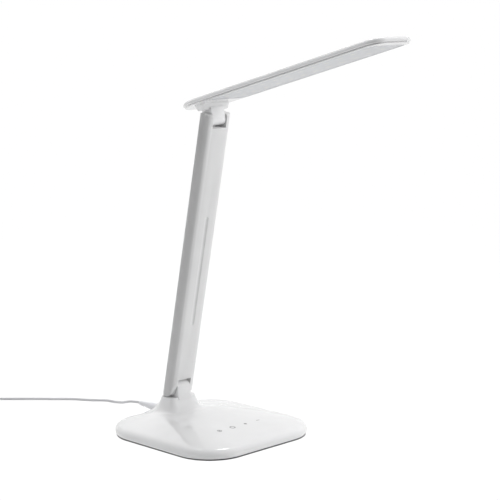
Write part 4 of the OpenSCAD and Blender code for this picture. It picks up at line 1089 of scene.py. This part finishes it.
def add_softbox(name, place, target, size, power):
    """A soft rectangular lamp aimed at a target, with no mirror image of its own."""
    data = bpy.data.lights.new(name, "AREA")
    data.shape = "RECTANGLE"
    data.size, data.size_y = size
    data.energy = power
    lamp = bpy.data.objects.new(name, data)
    lamp.location = place
    lamp.visible_glossy = False
    lamp.rotation_euler = (Vector(target) - Vector(place)).to_track_quat("-Z", "Y").to_euler()
    bpy.context.scene.collection.objects.link(lamp)
    return lamp


class LAMP_OT_stage(bpy.types.Operator):
    """Lay a plain white floor and light it softly from the front right and from above"""
    bl_idname = "desk_lamp.stage"
    bl_label = "Floor and light"

    def execute(self, context):
        deselect()
        bpy.ops.mesh.primitive_plane_add(size=4)
        floor = bpy.context.object
        floor.name = "floor"
        hair = 0.05 * MM  # the floor lies this much under the foot pad
        floor.data.transform(Matrix.Translation((0, 0, -hair)))
        paint = Paint("floor_white")
        open_air = paint.clear()
        # the floor thins out away from the lamp, so its far end leaves no line
        away = paint.add("ShaderNodeVectorMath", {"operation": "LENGTH"}, {0: paint.place}, "Value")
        near = paint.both(paint.matt(0.13), paint.clear(0.93))
        thins_from, gone_at = 0.4, 1.5
        pale = paint.either(paint.limit(away, thins_from, gone_at), near, open_air)
        lit = paint.either(paint.shown(0.0), paint.matt(0.82), pale)
        mirrored = paint.add("ShaderNodeLightPath", out="Is Glossy Ray")
        paint.add_output(paint.either(mirrored, lit, open_air))
        floor.data.materials.append(paint.material)
        floor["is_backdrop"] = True

        # a round backdrop far behind: the white of the studio shows through it
        deselect()
        bpy.ops.mesh.primitive_uv_sphere_add(radius=9, segments=64, ring_count=32)
        backdrop = bpy.context.object
        backdrop.name = "backdrop"
        smooth(backdrop)
        paint = Paint("backdrop_white")
        air = paint.clear()
        paint.add_output(paint.either(paint.shown(0.0), air, paint.both(paint.matt(0.02), air)))
        backdrop.data.materials.append(paint.material)
        backdrop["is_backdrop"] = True

        world = bpy.data.worlds.new("studio")
        context.scene.world = world
        world.use_nodes = True
        sky = Paint(tree=world.node_tree)
        # the backdrop is white to the camera, nearly so in reflections, and dim as a light
        dim = sky.add("ShaderNodeBackground", None, {"Color": (0.97, 0.985, 1.0), "Strength": 0.12})
        white = sky.add("ShaderNodeBackground", None, {"Color": (1, 1, 1), "Strength": 1.0})
        sky.add_output(sky.either(sky.shown(0.88), dim, white), "ShaderNodeOutputWorld")

        add_softbox("key", (1.35, -1.45, 1.0), (0.0, 0.0, 0.15), (1.1, 1.1), 27)
        add_softbox("overhead", (0.1, 0.3, 2.0), (0.0, 0.0, 0.0), (1.2, 1.2), 24)
        # two small ceiling windows, the only lamps with a mirror image: it lies on the base's front corner
        across = Vector((1, -1, 0)).normalized()
        behind = Vector((0.82, 0.82, 2.0))
        depth, watts_per_metre = 0.35, 9.0
        for name, offset, width in (("window_left", -0.16, 0.3), ("window_right", 0.4, 0.4)):
            window = add_softbox(name, across * offset + behind, across * offset, (width, depth),
                                 watts_per_metre * width)
            window.rotation_euler = (0, 0, math.radians(-45))
            window.visible_glossy = True
        # a low lamp at the left, which leaves the arm's left side in shade
        left = add_softbox("left", (-1.7, 0.75, 0.35), (0.0, 0.0, 0.1), (0.9, 0.5), 6)
        others = bpy.data.collections.new("lit_from_the_left")
        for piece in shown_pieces():
            if not piece.name.startswith("arm_"):
                others.objects.link(piece)
        others.objects.link(floor)
        others.objects.link(backdrop)
        left.light_linking.receiver_collection = others
        context.scene.view_settings.view_transform = "Standard"
        return {"FINISHED"}


class LAMP_PT_panel(bpy.types.Panel):
    """Lists the steps that build the lamp"""
    bl_label = "Desk lamp"
    bl_idname = "LAMP_PT_panel"
    bl_space_type = "VIEW_3D"
    bl_region_type = "UI"
    bl_category = "Desk lamp"

    def draw(self, context):
        for step in STEPS:
            self.layout.operator(step.bl_idname, text=step.bl_label)


STEPS = (LAMP_OT_camera, LAMP_OT_cord, LAMP_OT_base, LAMP_OT_marks, LAMP_OT_arm, LAMP_OT_head, LAMP_OT_light,
         LAMP_OT_plug, LAMP_OT_adapter, LAMP_OT_hidden, LAMP_OT_stage)
GROUPS = {"desk_base": BaseSizes, "desk_arm": ArmSizes, "desk_head": HeadSizes, "desk_cord": CordSizes,
          "desk_finishes": Finishes}


def register():
    for group in GROUPS.values():
        bpy.utils.register_class(group)
    for name, group in GROUPS.items():
        setattr(bpy.types.Scene, name, PointerProperty(type=group))
    for step in STEPS + (LAMP_PT_panel,):
        bpy.utils.register_class(step)


def unregister():
    for step in reversed(STEPS + (LAMP_PT_panel,)):
        bpy.utils.unregister_class(step)
    for name in GROUPS:
        delattr(bpy.types.Scene, name)
    for group in reversed(list(GROUPS.values())):
        bpy.utils.unregister_class(group)


def main():
    register()
    for step in STEPS:
        group, name = step.bl_idname.split(".")
        getattr(getattr(bpy.ops, group), name)()


if __name__ == "__main__":
    main()
